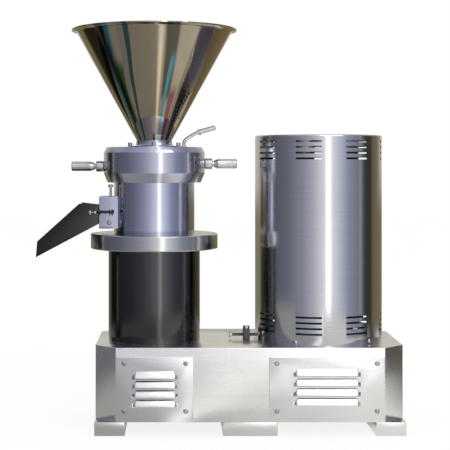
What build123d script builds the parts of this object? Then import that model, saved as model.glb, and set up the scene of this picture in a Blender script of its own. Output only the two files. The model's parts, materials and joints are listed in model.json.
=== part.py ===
from build123d import *
import math
import os

# Split colloid mill for bone paste, in millimetres, +Z up, the floor at z = 0
# The origin is the middle of the whole machine's footprint, chute to base end

# Base
base_width = 700.0
base_depth = 320.0
base_height = 198.0
base_corner = 48.0
base_wall = 3.0
base_top = 8.0
base_lip = 18.0
foot_height = 31.0
end_foot_width = 68.5
centre_foot_width = 123.0
foot_wall = 4.0

# Places of the two upright axes, from the middle of the base
grinder_offset = 218.5
motor_offset = 169.7

# Vent panels on the front
panel_thickness = 2.0
panel_height = 141.0
panel_rise = 5.5
left_panel_width = 172.4
left_panel_offset = 214.1
right_panel_width = 258.6
right_panel_offset = 171.7
louvre_count = 4
louvre_height = 16.0
louvre_depth = 8.0
louvre_sheet = 1.5
left_louvre_pitch = 21.0
left_louvre_length = 99.6
right_louvre_pitch = 21.8
right_louvre_length = 148.0
left_louvre_rise = -1.0
right_louvre_rise = 3.8
louvre_window_gap = 2.0
panel_screw_inset = 17.0
panel_screw_head = 5.5
panel_screw_rise = 3.2
panel_screw_shank = 2.5
panel_screw_lift = 2.5
screw_hole_gap = 0.1

# Column, disc and housing of the grinding head
column_radius = 108.0
column_height = 213.0
column_wall = 8.0
column_flange = 14.0
column_bolt_count = 6
column_bolt_radius = 5.0
disc_radius = 150.0
disc_thickness = 35.5
disc_edge = 4.0
housing_radius = 95.0
housing_wall = 17.0
housing_floor = 12.0
housing_height = 172.0
housing_neck_under_ring = 52.0

# Adjusting ring and what it carries
ring_radius = 119.5
ring_height = 83.0
ring_plate = 24.0
ring_top_bevel = 7.0
ring_top_bevel_height = 13.0
ring_foot_bevel = 9.0
ring_foot_bevel_height = 22.0
ring_clearance = 0.5
handle_level = 44.0
left_handle_drop = 6.0
handle_collar_radius = 13.0
handle_collar_length = 18.0
handle_neck_radius = 6.5
handle_neck_length = 13.0
handle_stud_radius = 6.0
handle_stud_depth = 14.0
grip_radius = 11.3
grip_length = 45.0
grip_flutes = 16
collar_radius = 43.0
collar_height = 15.6
collar_flange_radius = 63.0
collar_flange = 3.0
collar_screw_circle = 57.0
collar_screw_head = 5.3
collar_screw_rise = 8.0
collar_screw_shank = 3.0
collar_screw_depth = 11.0
socket_size = 2.5
socket_depth = 3.5

# Hopper
hopper_wall = 1.5
hopper_neck_radius = 41.0
hopper_mouth_radius = 184.5
hopper_cone_height = 258.0
hopper_rim_radius = 195.5
hopper_rim_rise = 4.5
hopper_spigot_radius = 36.0
hopper_spigot_length = 14.0

# Clamping lever on the ring
lever_place = 70.0
lever_rod_radius = 4.0
lever_boss_radius = 6.0
lever_boss_height = 4.0
lever_rise = 16.0
lever_run = 29.0
lever_second_rise = 34.0
lever_reach = 72.0
lever_end_rise = 46.0
lever_grip_radius = 5.8
lever_bend_radius = 7.0

# Grinding set
rotor_height = 62.0
rotor_foot_radius = 58.0
rotor_top_radius = 45.0
rotor_grooves = 20
groove_width = 6.0
groove_depth = 5.0
groove_tilt = 22.0
grinding_gap = 0.5
stator_radius = 72.0
stator_holder_wall = 5.5
stator_grooves = 20
throat_radius = 33.0
guide_key_width = 6.0
guide_key_height = 34.0
guide_key_depth = 3.5
impeller_height = 22.0
impeller_hub = 14.0
impeller_blades = 3
impeller_blade = 4.0

# Spindle and its bearings
spindle_radius = 20.0
spindle_end_radius = 14.0
rotor_seat_radius = 12.0
spindle_thread_radius = 8.0
bearing_radius = 40.0
bearing_width = 18.0
bearing_spacing = 140.0
cartridge_wall = 12.0
cartridge_flange_radius = 96.0
bearing_cap_thickness = 8.0
running_gap = 0.05
press_gap = 0.02
seat_gap = 0.3
seal_wall = 8.0
seal_height = 24.0
seal_sink = 12.0
seal_ring_height = 16.0
slinger_reach = 10.0
slinger_level = 8.0
slinger_thickness = 3.0

# Belt drive
belt_count = 2
belt_top_width = 13.0
belt_height = 8.0
belt_flank_angle = 19.0
belt_pitch = 16.0
drive_pulley_radius = 62.5
driven_pulley_radius = 50.0
pulley_rim = 9.0
pulley_web = 10.0
pulley_drop = 58.0

# Motor
motor_plate_size = 200.0
motor_plate_thickness = 16.0
motor_flange_radius = 124.0
motor_flange_thickness = 12.0
motor_bolt_circle = 107.5
motor_bolt_radius = 6.0
motor_bolt_hole_gap = 0.3
motor_bolt_slot = 20.0
motor_nut_height = 10.0
motor_washer_radius = 18.0
motor_washer_thickness = 3.0
motor_bolt_end = 1.0
motor_frame_radius = 90.0
motor_fin_radius = 106.0
motor_fin_thickness = 3.0
motor_fin_count = 24
motor_frame_height = 270.0
motor_shaft_radius = 14.0
cowl_skirt = 26.0
cowl_height = 92.0
cowl_wall = 2.0
fan_radius = 92.0
fan_height = 34.0
fan_blades = 8
fan_blade_thickness = 3.0
fan_lift = 8.0
grille_slots = 12
grille_slot_length = 56.0
grille_slot_width = 7.0
grille_slot_circle = 55.0
terminal_box_width = 96.0
terminal_box_height = 110.0
terminal_box_reach = 136.0

# Motor cover
cover_radius = 149.0
cover_height = 479.0
cover_wall = 2.5
cover_edge = 5.0
cover_ring_wall = 6.0
slot_groups = 8
slot_first_angle = -15.0
slot_length = 60.0
slot_height = 4.5
slot_rows = 4
upper_slot_drop = 54.3
upper_slot_pitch = 13.0
lower_slot_level = 27.4
lower_slot_pitch = 12.6
cover_screw_count = 5
cover_screw_first_angle = -27.0
cover_screw_level = 8.0
cover_screw_head = 5.0
cover_screw_rise = 3.0

# Belt tension block beside the cover
tension_block_offset = -1.4
tension_block_y = -15.0
tension_block_width = 16.0
tension_block_depth = 24.0
tension_block_height = 23.5
tension_screw_radius = 4.0
tension_screw_level = 10.4
tension_screw_head_place = -42.5
tension_screw_head_radius = 6.5
tension_screw_head_length = 5.5
hex_radius = 8.0
hex_height = 7.5

# Discharge block and chute, placed from the grinder axis
block_reach = 128.0
block_half_width = 47.0
block_rise = 12.5
block_height = 75.0
outlet_width = 56.0
outlet_height = 48.0
outlet_offset = 12.0
outlet_floor = 13.0
chute_slot_height = 14.0
chute_slot_level = 31.0
chute_gap = 1.0
tongue_radius = 7.0
tongue_overlap = 8.0
chute_half_width = 50.0
chute_wall = 2.0
chute_reach = 275.0
chute_slope = 28.0
chute_start_height = 42.0
chute_peak_run = 45.0
chute_peak_rise = 47.5
chute_end_height = 37.0
hinge_pin_radius = 3.0
hinge_pin_place = 101.0
hinge_pin_y = -40.0
hinge_pin_rise = 28.0
hinge_pin_head = 6.0
hinge_pin_head_height = 6.0
tongue_thickness = 6.0
latch_rod_radius = 2.0
latch_ball_radius = 4.5
latch_rod_length = 24.0
block_screw_radius = 5.0

# Cable gland at the back
gland_offset = 250.0
gland_rise = 59.0
gland_radius = 12.0
gland_bore = 5.5
gland_length = 22.0

# Places worked out from the sizes above
base_x = (grinder_offset + chute_reach - base_width / 2) / 2
grinder_x = base_x - grinder_offset
motor_x = base_x + motor_offset
front_y = -base_depth / 2
back_y = base_depth / 2
wall_top = base_height - base_top
panel_bottom = foot_height + panel_rise
pulley_level = base_height - pulley_drop
gland_level = foot_height + gland_rise
column_bolt_circle = column_radius - column_wall - 14
column_top = base_height + column_height
disc_top = column_top + disc_thickness
housing_top = disc_top + housing_height
block_bottom = disc_top + block_rise
outlet_low = block_bottom + outlet_floor
tongue_bottom = block_bottom + chute_slot_level + (chute_slot_height - tongue_thickness) / 2
hinge_pin_foot = block_bottom + chute_slot_level - 11
block_screw_x = grinder_x - hinge_pin_place - 3
block_screw_z = block_bottom + 14
ring_bottom = housing_top - housing_neck_under_ring
ring_top = ring_bottom + ring_height
ring_bore = housing_radius + ring_clearance
ring_ceiling = ring_top - ring_plate
collar_top = ring_top + collar_height
hopper_rim = collar_top + hopper_cone_height + hopper_rim_rise
housing_bore = housing_radius - housing_wall
rotor_bottom = block_bottom + block_height + 2
rotor_top = rotor_bottom + rotor_height
holder_radius = stator_radius + stator_holder_wall
holder_shelf = rotor_top + 2
holder_top = ring_ceiling - seat_gap
holder_key_bottom = holder_shelf - guide_key_height - 14
seal_outer = spindle_radius + seal_wall
cartridge_radius = bearing_radius + cartridge_wall
upper_bearing_z = column_top - column_flange - 2 * bearing_width
lower_bearing_z = upper_bearing_z - bearing_spacing
cartridge_bottom = lower_bearing_z - 2
pulley_half = belt_count * belt_pitch / 2 + 3
belt_middle = belt_height * 0.45
shaft_bottom = pulley_level - pulley_half - 20
motor_plate_top = base_height + motor_plate_thickness
motor_flange_top = motor_plate_top + motor_flange_thickness
motor_frame_top = motor_flange_top + motor_frame_height
cover_top = base_height + cover_height
cover_ring_outer = cover_radius - cover_wall - press_gap
cover_ring_inner = cover_ring_outer - cover_ring_wall
plate_left = motor_x - motor_plate_size / 2
cowl_radius = motor_fin_radius + seat_gap + cowl_wall

pieces = {}


def ring_solid(points, x=grinder_x, y=0.0):
    """Solid of revolution about the upright line at x, y from (radius, z) corners."""
    face = Plane.XZ * make_face(Polyline(*points, close=True))
    return Pos(x, y, 0) * revolve(face, Axis.Z)


def tube(outer, inner, bottom, top, x=grinder_x, y=0.0):
    """Plain upright tube."""
    return ring_solid([(inner, bottom), (outer, bottom), (outer, top), (inner, top)], x, y)


def rod(radius, bottom, top, x, y=0.0):
    """Plain upright rod."""
    return Pos(x, y, (bottom + top) / 2) * Cylinder(radius, top - bottom)


def rod_along_x(radius, left, right, y, z):
    """Plain rod lying along X."""
    return Pos((left + right) / 2, y, z) * Rot(0, 90, 0) * Cylinder(radius, right - left)


def rod_along_y(radius, front, back, x, z):
    """Plain rod lying along Y."""
    return Pos(x, (front + back) / 2, z) * Rot(90, 0, 0) * Cylinder(radius, back - front)


def block(low, high):
    """Box between two corners."""
    size = [b - a for a, b in zip(low, high)]
    middle = [(a + b) / 2 for a, b in zip(low, high)]
    return Pos(*middle) * Box(*size)


def circle_edges(solid, z, x=grinder_x):
    """Round edges of a turned solid that lie flat at one height."""
    return [e for e in solid.edges().filter_by(GeomType.CIRCLE)
            if abs(e.center().Z - z) < 0.01 and abs(e.arc_center.X - x) < 0.01]


def outer_edges(solid, z, x=grinder_x):
    """The widest flat round edge at one height."""
    return sorted(circle_edges(solid, z, x), key=lambda e: e.radius)[-1:]


def hexagon(across, bottom, top, x, y):
    """Upright hexagonal bolt head or nut."""
    return Pos(x, y, bottom) * extrude(RegularPolygon(across, 6, major_radius=False), top - bottom)


def cut_corner_plan(width, depth, corner):
    """Rectangle with its four corners cut off at 45 degrees."""
    outline = Rectangle(width, depth)
    return chamfer(outline.vertices(), corner)


def polar(count, radius, first=0.0):
    """Points evenly round a circle, the angle in degrees and the place."""
    for index in range(count):
        angle = first + 360.0 / count * index
        yield angle, radius * math.cos(math.radians(angle)), radius * math.sin(math.radians(angle))


# Base cabinet

def base_plan(inset):
    """Outline of the base seen from above, moved inwards all round."""
    corner = base_corner - inset * (2 - math.sqrt(2))
    return Pos(base_x, 0, 0) * cut_corner_plan(base_width - 2 * inset, base_depth - 2 * inset, corner)


def make_top_plate():
    """Top plate of the base, with the openings for spindle, pulley and bolts."""
    plate = Pos(0, 0, wall_top) * extrude(base_plan(0), base_top)
    plate -= through_top(column_radius - column_wall - 28, grinder_x, 0)
    plate -= through_top(drive_pulley_radius + 14, motor_x, 0)
    for angle, dx, dy in polar(column_bolt_count, column_bolt_circle, 30):
        plate -= through_top(column_bolt_radius + seat_gap, grinder_x + dx, dy)
    for dx, dy in motor_bolt_places():
        slot = SlotOverall(motor_bolt_radius * 2 + motor_bolt_slot, motor_bolt_radius * 2 + 1)
        plate -= Pos(motor_x + dx, dy, wall_top - 1) * extrude(slot, base_top + 2)
    return plate


def through_top(radius, x, y):
    """Cylinder that cuts a round hole through the top plate."""
    return rod(radius, wall_top - 1, base_height + 1, x, y)


def make_walls():
    """Walls of the base with a lip turned in at their foot, before they are parted."""
    walls = Pos(0, 0, foot_height) * extrude(base_plan(0), wall_top - foot_height)
    walls -= Pos(0, 0, foot_height + base_wall) * extrude(base_plan(base_wall), wall_top - foot_height)
    walls -= Pos(0, 0, foot_height - 1) * extrude(base_plan(base_lip), base_wall + 2)
    for offset, width, length, pitch, rise in vent_panels():
        low = first_louvre(pitch, rise) - louvre_window_gap
        high = first_louvre(pitch, rise) + pitch * (louvre_count - 1) + louvre_height + louvre_window_gap
        half = length / 2 + louvre_window_gap
        walls -= block((base_x + offset - half, front_y - 1, low),
                       (base_x + offset + half, front_y + base_wall + 1, high))
    for x, y, z in panel_screw_places():
        walls -= rod_along_y(panel_screw_shank + screw_hole_gap, front_y - 1, front_y + base_wall + 1, x, z)
    walls -= rod_along_y(gland_radius - 4, back_y - base_wall - 1, back_y + 1, base_x + gland_offset, gland_level)
    return walls


def wall_part(walls, front, back):
    """The walls between two depths."""
    return walls & block((base_x - base_width, front, 0), (base_x + base_width, back, base_height))


def vent_panels():
    """Offset, width, louvre length, pitch and rise of each vent panel."""
    return [(-left_panel_offset, left_panel_width, left_louvre_length, left_louvre_pitch, left_louvre_rise),
            (right_panel_offset, right_panel_width, right_louvre_length, right_louvre_pitch, right_louvre_rise)]


def first_louvre(pitch, rise):
    """Foot of the lowest louvre, the set being raised from the panel's middle."""
    return panel_bottom + (panel_height - louvre_height - pitch * (louvre_count - 1)) / 2 + rise


def panel_screw_places():
    """Centres of the vent panel screws on the panels' front face."""
    low = panel_bottom + panel_screw_inset + panel_screw_lift
    high = panel_bottom + panel_height - panel_screw_inset + panel_screw_lift
    for offset, width, *louvres in vent_panels():
        for side in (-1, 1):
            for z in (low, high):
                yield base_x + offset + side * (width / 2 - panel_screw_inset), front_y - panel_thickness, z


def motor_bolt_places():
    """Offsets of the motor's four bolts from its axis."""
    for angle, dx, dy in polar(4, motor_bolt_circle, 45):
        yield dx, dy


def make_foot(offset, width):
    """Inverted tray that runs from the front to the back of the base."""
    foot = block((base_x + offset - width / 2, front_y, 0), (base_x + offset + width / 2, back_y, foot_height))
    foot = fillet(foot.edges().filter_by(Axis.Z), 3)
    foot -= block((base_x + offset - width / 2 + foot_wall, front_y + foot_wall, -1),
                  (base_x + offset + width / 2 - foot_wall, back_y - foot_wall, foot_height - foot_wall))
    return foot


def louvre_shape(length, height, depth):
    """Hood of a pressed louvre: bulged section drawn out along X, turned round at both ends."""
    half = length / 2 - depth
    across = Plane((0, 0, 0), x_dir=(0, -1, 0), z_dir=(-1, 0, 0))
    bulge = FilletPolyline((depth, 0), (depth, height * 0.4), (depth * 0.6, height * 0.8), (0, height),
                           radius=depth / 2)
    section = across * make_face([Line((0, 0), (depth, 0)), bulge, Line((0, height), (0, 0))])
    end = revolve(section, Axis.Z, 90)
    middle = Pos(half, 0, 0) * extrude(section, 2 * half)
    return middle + Pos(half, 0, 0) * end + Pos(-half, 0, 0) * Rot(0, 0, -90) * end


def make_vent_panel(offset, width, length, pitch, rise):
    """Front plate with pressed louvres that open downwards."""
    x = base_x + offset
    plate = block((x - width / 2, front_y - panel_thickness, panel_bottom),
                  (x + width / 2, front_y, panel_bottom + panel_height))
    plate = fillet(plate.edges().filter_by(Axis.Y), 3)
    first = first_louvre(pitch, rise)
    outer = louvre_shape(length, louvre_height, louvre_depth)
    inner = louvre_shape(length - 2 * louvre_sheet, louvre_height - louvre_sheet, louvre_depth - louvre_sheet)
    face_y = front_y - panel_thickness
    for n in range(louvre_count):
        z = first + pitch * n
        plate += Pos(x, face_y, z) * outer
        plate -= Pos(x, face_y, z) * inner
        plate -= block((x - length / 2 + louvre_depth, face_y - 0.1, z),
                       (x + length / 2 - louvre_depth, front_y + 1, z + louvre_height - 2 * louvre_sheet))
    for sx, sy, sz in panel_screw_places():
        if abs(sx - x) < width / 2:
            plate -= rod_along_y(panel_screw_shank + screw_hole_gap, face_y - 1, front_y + 1, sx, sz)
    return plate


def make_panel_screws():
    """Button-head screws through the panels into the cabinet wall."""
    screws = []
    for x, y, z in panel_screw_places():
        head = Pos(x, y, z) * Rot(90, 0, 0) * button_head(panel_screw_head, panel_screw_rise)
        shank = rod_along_y(panel_screw_shank, y - 0.5, front_y + base_wall + 6, x, z)
        screws.append(head + shank)
    return Compound(screws)


def button_head(radius, rise):
    """Low domed screw head standing on z = 0."""
    profile = Plane.XZ * make_face(Polyline(
        (0, 0), (radius, 0), (radius, rise * 0.4), (radius * 0.6, rise), (0, rise), close=True))
    return revolve(profile, Axis.Z)


base_walls = make_walls()
wall_seam = front_y + base_corner
pieces["base_top_plate"] = make_top_plate()
pieces["base_front_wall"] = wall_part(base_walls, front_y - 1, wall_seam)
pieces["base_back_wall"] = wall_part(base_walls, wall_seam, back_y + 1)
end_foot_offset = (base_width - end_foot_width) / 2
pieces["left_foot"] = make_foot(-end_foot_offset, end_foot_width)
pieces["centre_foot"] = make_foot(0, centre_foot_width)
pieces["right_foot"] = make_foot(end_foot_offset, end_foot_width)
for name, sizes in zip(("left_vent_panel", "right_vent_panel"), vent_panels()):
    pieces[name] = make_vent_panel(*sizes)
pieces["vent_panel_screws"] = make_panel_screws()


# Column, disc and housing

def make_column():
    """Hollow column with an inner flange at each end."""
    inner = column_radius - column_wall
    low_flange = column_bolt_circle - column_bolt_radius - 9
    column = ring_solid([
        (low_flange, base_height),
        (column_radius, base_height),
        (column_radius, column_top),
        (cartridge_flange_radius + seat_gap, column_top),
        (cartridge_flange_radius + seat_gap, column_top - column_flange / 2),
        (cartridge_radius + seat_gap, column_top - column_flange / 2),
        (cartridge_radius + seat_gap, column_top - column_flange * 1.5),
        (inner, column_top - column_flange * 1.5),
        (inner, base_height + column_flange),
        (low_flange, base_height + column_flange),
    ])
    for angle, dx, dy in polar(column_bolt_count, column_bolt_circle, 30):
        column -= rod(column_bolt_radius + press_gap, base_height - 1, base_height + column_flange + 1,
                      grinder_x + dx, dy)
    return column


def make_column_bolts():
    """Bolts that hold the column to the base from below."""
    bolts = []
    for angle, dx, dy in polar(column_bolt_count, column_bolt_circle, 30):
        bolt = rod(column_bolt_radius, wall_top, base_height + column_flange + 2, grinder_x + dx, dy)
        bolts.append(bolt + hexagon(hex_radius, wall_top - hex_height, wall_top, grinder_x + dx, dy))
    return Compound(bolts)


def make_disc():
    """Thick flange disc between column and housing."""
    disc = tube(disc_radius, seal_outer + seat_gap, column_top, disc_top)
    return fillet(outer_edges(disc, column_top) + outer_edges(disc, disc_top), disc_edge)


def make_housing():
    """Grinding housing: bored body with a floor, and the window of the outlet."""
    floor_top = disc_top + housing_floor
    housing = ring_solid([
        (seal_outer + press_gap, disc_top),
        (housing_radius, disc_top),
        (housing_radius, housing_top - 2),
        (housing_radius - 2, housing_top),
        (housing_bore, housing_top),
        (housing_bore, floor_top + 6),
        (housing_bore - 6, floor_top),
        (seal_outer + press_gap, floor_top),
    ])
    housing -= outlet_box(grinder_x - block_reach, grinder_x - housing_bore + 25)
    key_low = holder_key_bottom - press_gap
    housing -= block((grinder_x + housing_bore - 1, -guide_key_width / 2 - press_gap, key_low),
                     (grinder_x + housing_bore + guide_key_depth + press_gap, guide_key_width / 2 + press_gap,
                      key_low + guide_key_height + 2 * press_gap))
    return housing


def outlet_box(left, right):
    """Rectangular passage for the ground paste, through block and housing wall."""
    return block((left, outlet_offset - outlet_width / 2, outlet_low),
                 (right, outlet_offset + outlet_width / 2, outlet_low + outlet_height))


def make_guide_key():
    """Feather key that keeps the stator holder from turning."""
    return block((grinder_x + housing_bore - guide_key_depth, -guide_key_width / 2, holder_key_bottom),
                 (grinder_x + housing_bore + guide_key_depth, guide_key_width / 2,
                  holder_key_bottom + guide_key_height))


pieces["column"] = make_column()
pieces["column_bolts"] = make_column_bolts()
pieces["flange_disc"] = make_disc()
pieces["grinding_housing"] = make_housing()
pieces["guide_key"] = make_guide_key()


# Discharge block, hinge pin and chute

def make_discharge_block():
    """Block on the housing with the paste outlet and the slot for the chute's tongue."""
    left = grinder_x - block_reach
    body = block((left, -block_half_width, block_bottom),
                 (grinder_x - housing_radius / 2, block_half_width, block_bottom + block_height))
    body = fillet(body.edges().filter_by(Axis.X), 4)
    body -= rod(housing_radius, block_bottom - 1, block_bottom + block_height + 1, grinder_x)
    body -= outlet_box(left - 1, grinder_x - housing_bore)
    slot_low = block_bottom + chute_slot_level
    body -= block((left - 1, -block_half_width - 1, slot_low),
                  (grinder_x - hinge_pin_place + tongue_radius + chute_gap,
                   outlet_offset - outlet_width / 2 - 4, slot_low + chute_slot_height))
    body -= rod(hinge_pin_radius + press_gap, hinge_pin_foot - press_gap, block_bottom + block_height + 1,
                grinder_x - hinge_pin_place, hinge_pin_y)
    body -= rod_along_y(block_screw_radius / 2 + press_gap, -block_half_width - 1, -block_half_width + 14,
                        block_screw_x, block_screw_z)
    return body


def make_block_screw():
    """Round-head screw low on the block's front."""
    head = Pos(block_screw_x, -block_half_width, block_screw_z) * Rot(90, 0, 0) * button_head(
        block_screw_radius, panel_screw_rise)
    return head + rod_along_y(block_screw_radius / 2, -block_half_width - 0.5, -block_half_width + 12,
                              block_screw_x, block_screw_z)


def make_hinge_pin():
    """Headed pin on which the chute swings."""
    x = grinder_x - hinge_pin_place
    top = block_bottom + block_height + hinge_pin_rise
    pin = rod(hinge_pin_radius, hinge_pin_foot, top - hinge_pin_head_height, x, hinge_pin_y)
    head = rod(hinge_pin_head, top - hinge_pin_head_height, top, x, hinge_pin_y)
    return pin + chamfer(head.edges().filter_by(GeomType.CIRCLE), 1)


def chute_side():
    """Side outline of the chute in X and Z."""
    start = grinder_x - block_reach - chute_gap
    end = grinder_x - chute_reach
    fall = math.tan(math.radians(chute_slope))
    floor_start = outlet_low - 2
    end_low = floor_start - (start - end) * fall
    top_start = floor_start + chute_start_height
    return make_face(Polyline(
        (start, floor_start), (start, top_start), (start - chute_peak_run, floor_start + chute_peak_rise),
        (end + 3, end_low + chute_end_height), (end, end_low), close=True))


def make_chute():
    """Open channel bent from sheet, with the tongue that turns on the hinge pin."""
    outer = Pos(0, chute_half_width, 0) * extrude(Plane.XZ * chute_side(), 2 * chute_half_width)
    inner_half = chute_half_width - chute_wall
    lift = chute_wall / math.cos(math.radians(chute_slope))
    start = grinder_x - block_reach - chute_gap
    channel = Pos(0, inner_half, 0) * extrude(Plane.XZ * chute_channel(lift), 2 * inner_half)
    chute = outer - channel
    pin_x = grinder_x - hinge_pin_place
    tongue_top = tongue_bottom + tongue_thickness
    arm_back = hinge_pin_y + tongue_radius - 1
    chute += block((start - tongue_overlap, -chute_half_width, tongue_bottom),
                   (start, arm_back, tongue_top))
    chute += block((start, hinge_pin_y - tongue_radius, tongue_bottom), (pin_x, arm_back, tongue_top))
    chute += rod(tongue_radius, tongue_bottom, tongue_top, pin_x, hinge_pin_y)
    return chute - rod(hinge_pin_radius + running_gap, tongue_bottom - 1, tongue_top + 1, pin_x, hinge_pin_y)


def chute_channel(lift):
    """Side outline of the space inside the chute, open at both ends and at the top."""
    start = grinder_x - block_reach - chute_gap + 1
    end = grinder_x - chute_reach - 1
    fall = math.tan(math.radians(chute_slope))
    floor_start = outlet_low - 2 + lift + fall
    end_low = floor_start - (start - end) * fall
    above = floor_start + 2 * chute_peak_rise
    return make_face(Polyline((start, floor_start), (start, above), (end, above), (end, end_low), close=True))


def make_latch_rod():
    """Small rod with a ball on the chute's front wall, to swing the chute by."""
    left = grinder_x - block_reach - latch_rod_length
    y = -chute_half_width - latch_ball_radius - 1
    z = tongue_bottom + tongue_thickness / 2
    rail = rod_along_x(latch_rod_radius, left, left + latch_rod_length - latch_ball_radius * 2, y, z)
    ball = Pos(left + latch_rod_length - latch_ball_radius * 2, y, z) * Sphere(latch_ball_radius)
    ear = block((left + 2, y - 3, z - 5), (left + 6, -chute_half_width, z + 5))
    return rail + ball + ear


pieces["discharge_block"] = make_discharge_block()
pieces["discharge_block_screw"] = make_block_screw()
pieces["chute_hinge_pin"] = make_hinge_pin()
pieces["chute"] = make_chute()
pieces["chute_latch_rod"] = make_latch_rod()


# Adjusting ring, handles, collar and hopper

def make_ring():
    """Adjusting ring: cap over the housing neck, bevelled above and below."""
    ring = ring_solid([
        (ring_bore, ring_bottom),
        (ring_radius - ring_foot_bevel, ring_bottom),
        (ring_radius, ring_bottom + ring_foot_bevel_height),
        (ring_radius, ring_top - ring_top_bevel_height),
        (ring_radius - ring_top_bevel, ring_top),
        (throat_radius, ring_top),
        (throat_radius, ring_ceiling),
        (ring_bore, ring_ceiling),
    ])
    for turn in (0, 180):
        ring -= handle_place(turn) * handle_hole()
    for angle, dx, dy in polar(4, collar_screw_circle):
        ring -= rod(collar_screw_shank + press_gap, ring_top - collar_screw_depth - 1, ring_top + 1,
                    grinder_x + dx, dy)
    ring -= rod(lever_rod_radius + running_gap, ring_top - 14, ring_top + 1, grinder_x + lever_place)
    return ring


def handle_place(turn):
    """Frame of a side handle whose axis is its local X; the left one sits lower."""
    level = handle_level - left_handle_drop if turn == 180 else handle_level
    return Pos(grinder_x, 0, ring_bottom + level) * Rot(0, 0, turn)


def handle_hole():
    """Hole in the ring for one handle's stud, along +X."""
    return rod_along_x(handle_stud_radius + press_gap, ring_radius - handle_stud_depth, ring_radius + 1, 0, 0)


def make_handle(turn):
    """Stud, collar and neck of a side handle, in one turned piece."""
    neck_start = ring_radius + handle_collar_length
    grip_start = neck_start + handle_neck_length
    profile = Plane.XY * make_face(Polyline(
        (ring_radius - handle_stud_depth + 1, 0),
        (ring_radius - handle_stud_depth + 1, handle_stud_radius),
        (ring_radius + seat_gap, handle_stud_radius),
        (ring_radius + seat_gap, handle_collar_radius - 1.5),
        (ring_radius + seat_gap + 1.5, handle_collar_radius),
        (neck_start - 1.5, handle_collar_radius),
        (neck_start, handle_collar_radius - 1.5),
        (neck_start, handle_neck_radius),
        (grip_start + grip_length - 4, handle_neck_radius),
        (grip_start + grip_length - 4, 0),
        close=True))
    return handle_place(turn) * revolve(profile, Axis.X)


def make_grip(turn):
    """Fluted sleeve on a side handle, tapered towards the ring."""
    start = ring_radius + handle_collar_length + handle_neck_length
    bore = handle_neck_radius + press_gap
    profile = Plane.XY * make_face(Polyline(
        (start - handle_neck_length * 0.7, bore),
        (start - handle_neck_length * 0.7, bore + 1.5),
        (start, grip_radius),
        (start + grip_length - 2, grip_radius),
        (start + grip_length, grip_radius - 2),
        (start + grip_length, 0),
        (start + grip_length - 3.5, 0),
        (start + grip_length - 3.5, bore),
        close=True))
    grip = revolve(profile, Axis.X)
    flutes = []
    for angle, dy, dz in polar(grip_flutes, grip_radius + 0.6):
        flutes.append(rod_along_x(1.4, start + 5, start + grip_length - 5, dy, dz))
    grip -= flutes
    return handle_place(turn) * grip


def make_collar():
    """Seat of the hopper: short tube with a thin screwed flange."""
    bore = hopper_spigot_radius + seat_gap
    collar = ring_solid([
        (bore, ring_top),
        (collar_flange_radius, ring_top),
        (collar_flange_radius, ring_top + collar_flange),
        (collar_radius + 2, ring_top + collar_flange),
        (collar_radius, ring_top + collar_flange + 2),
        (collar_radius, collar_top - 1),
        (collar_radius - 1, collar_top),
        (bore, collar_top),
    ])
    for angle, dx, dy in polar(4, collar_screw_circle):
        collar -= rod(collar_screw_shank + 0.2, ring_top - 1, ring_top + collar_flange + 1, grinder_x + dx, dy)
    return collar


def make_collar_screws():
    """Four socket screws that hold the hopper collar on the ring."""
    screws = []
    for angle, dx, dy in polar(4, collar_screw_circle):
        low = ring_top + collar_flange
        head = rod(collar_screw_head, low, low + collar_screw_rise, grinder_x + dx, dy)
        head = chamfer(outer_edges(head, low + collar_screw_rise, grinder_x + dx), 0.8)
        head -= hexagon(socket_size, low + collar_screw_rise - socket_depth, low + collar_screw_rise + 1,
                        grinder_x + dx, dy)
        screws.append(head + rod(collar_screw_shank, ring_top - collar_screw_depth, low + 0.5, grinder_x + dx, dy))
    return Compound(screws)


def make_hopper():
    """Spun sheet funnel with a spigot below and a rolled rim above."""
    cone_top = collar_top + hopper_cone_height
    slope = math.atan2(hopper_mouth_radius - hopper_neck_radius, hopper_cone_height)
    sheet_run = hopper_wall / math.cos(slope)
    spigot_in = hopper_spigot_radius - hopper_wall
    profile = Polyline(
        (spigot_in, collar_top - hopper_spigot_length),
        (hopper_spigot_radius, collar_top - hopper_spigot_length),
        (hopper_spigot_radius, collar_top),
        (hopper_neck_radius, collar_top),
        (hopper_mouth_radius, cone_top),
        (hopper_rim_radius - 2, hopper_rim - 3.5),
        (hopper_rim_radius, hopper_rim - 2),
        (hopper_rim_radius, hopper_rim),
        (hopper_rim_radius - 3, hopper_rim),
        (hopper_mouth_radius - sheet_run, cone_top + 1.2),
        (hopper_neck_radius - sheet_run - 0.6, collar_top + hopper_wall),
        (spigot_in, collar_top - 2 * hopper_wall),
        close=True)
    return Pos(grinder_x, 0, 0) * revolve(Plane.XZ * make_face(profile), Axis.Z)


def lever_path():
    """Centre line of the bent clamping lever, in X and Z from the stud's foot."""
    return FilletPolyline(
        (0, -12),
        (0, lever_rise),
        (lever_run, lever_second_rise),
        (lever_reach, lever_end_rise),
        radius=lever_bend_radius)


def make_lever():
    """Bent rod with a boss where it leaves the ring."""
    path = Plane.XZ * lever_path()
    section = Plane.XY.offset(-12) * Circle(lever_rod_radius)
    bar = sweep(section, path=path)
    boss = rod(lever_boss_radius, 0.2, lever_boss_height, 0)
    boss = chamfer(outer_edges(boss, lever_boss_height, 0), 1)
    return Pos(grinder_x + lever_place, 0, ring_top) * (bar + boss)


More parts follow.
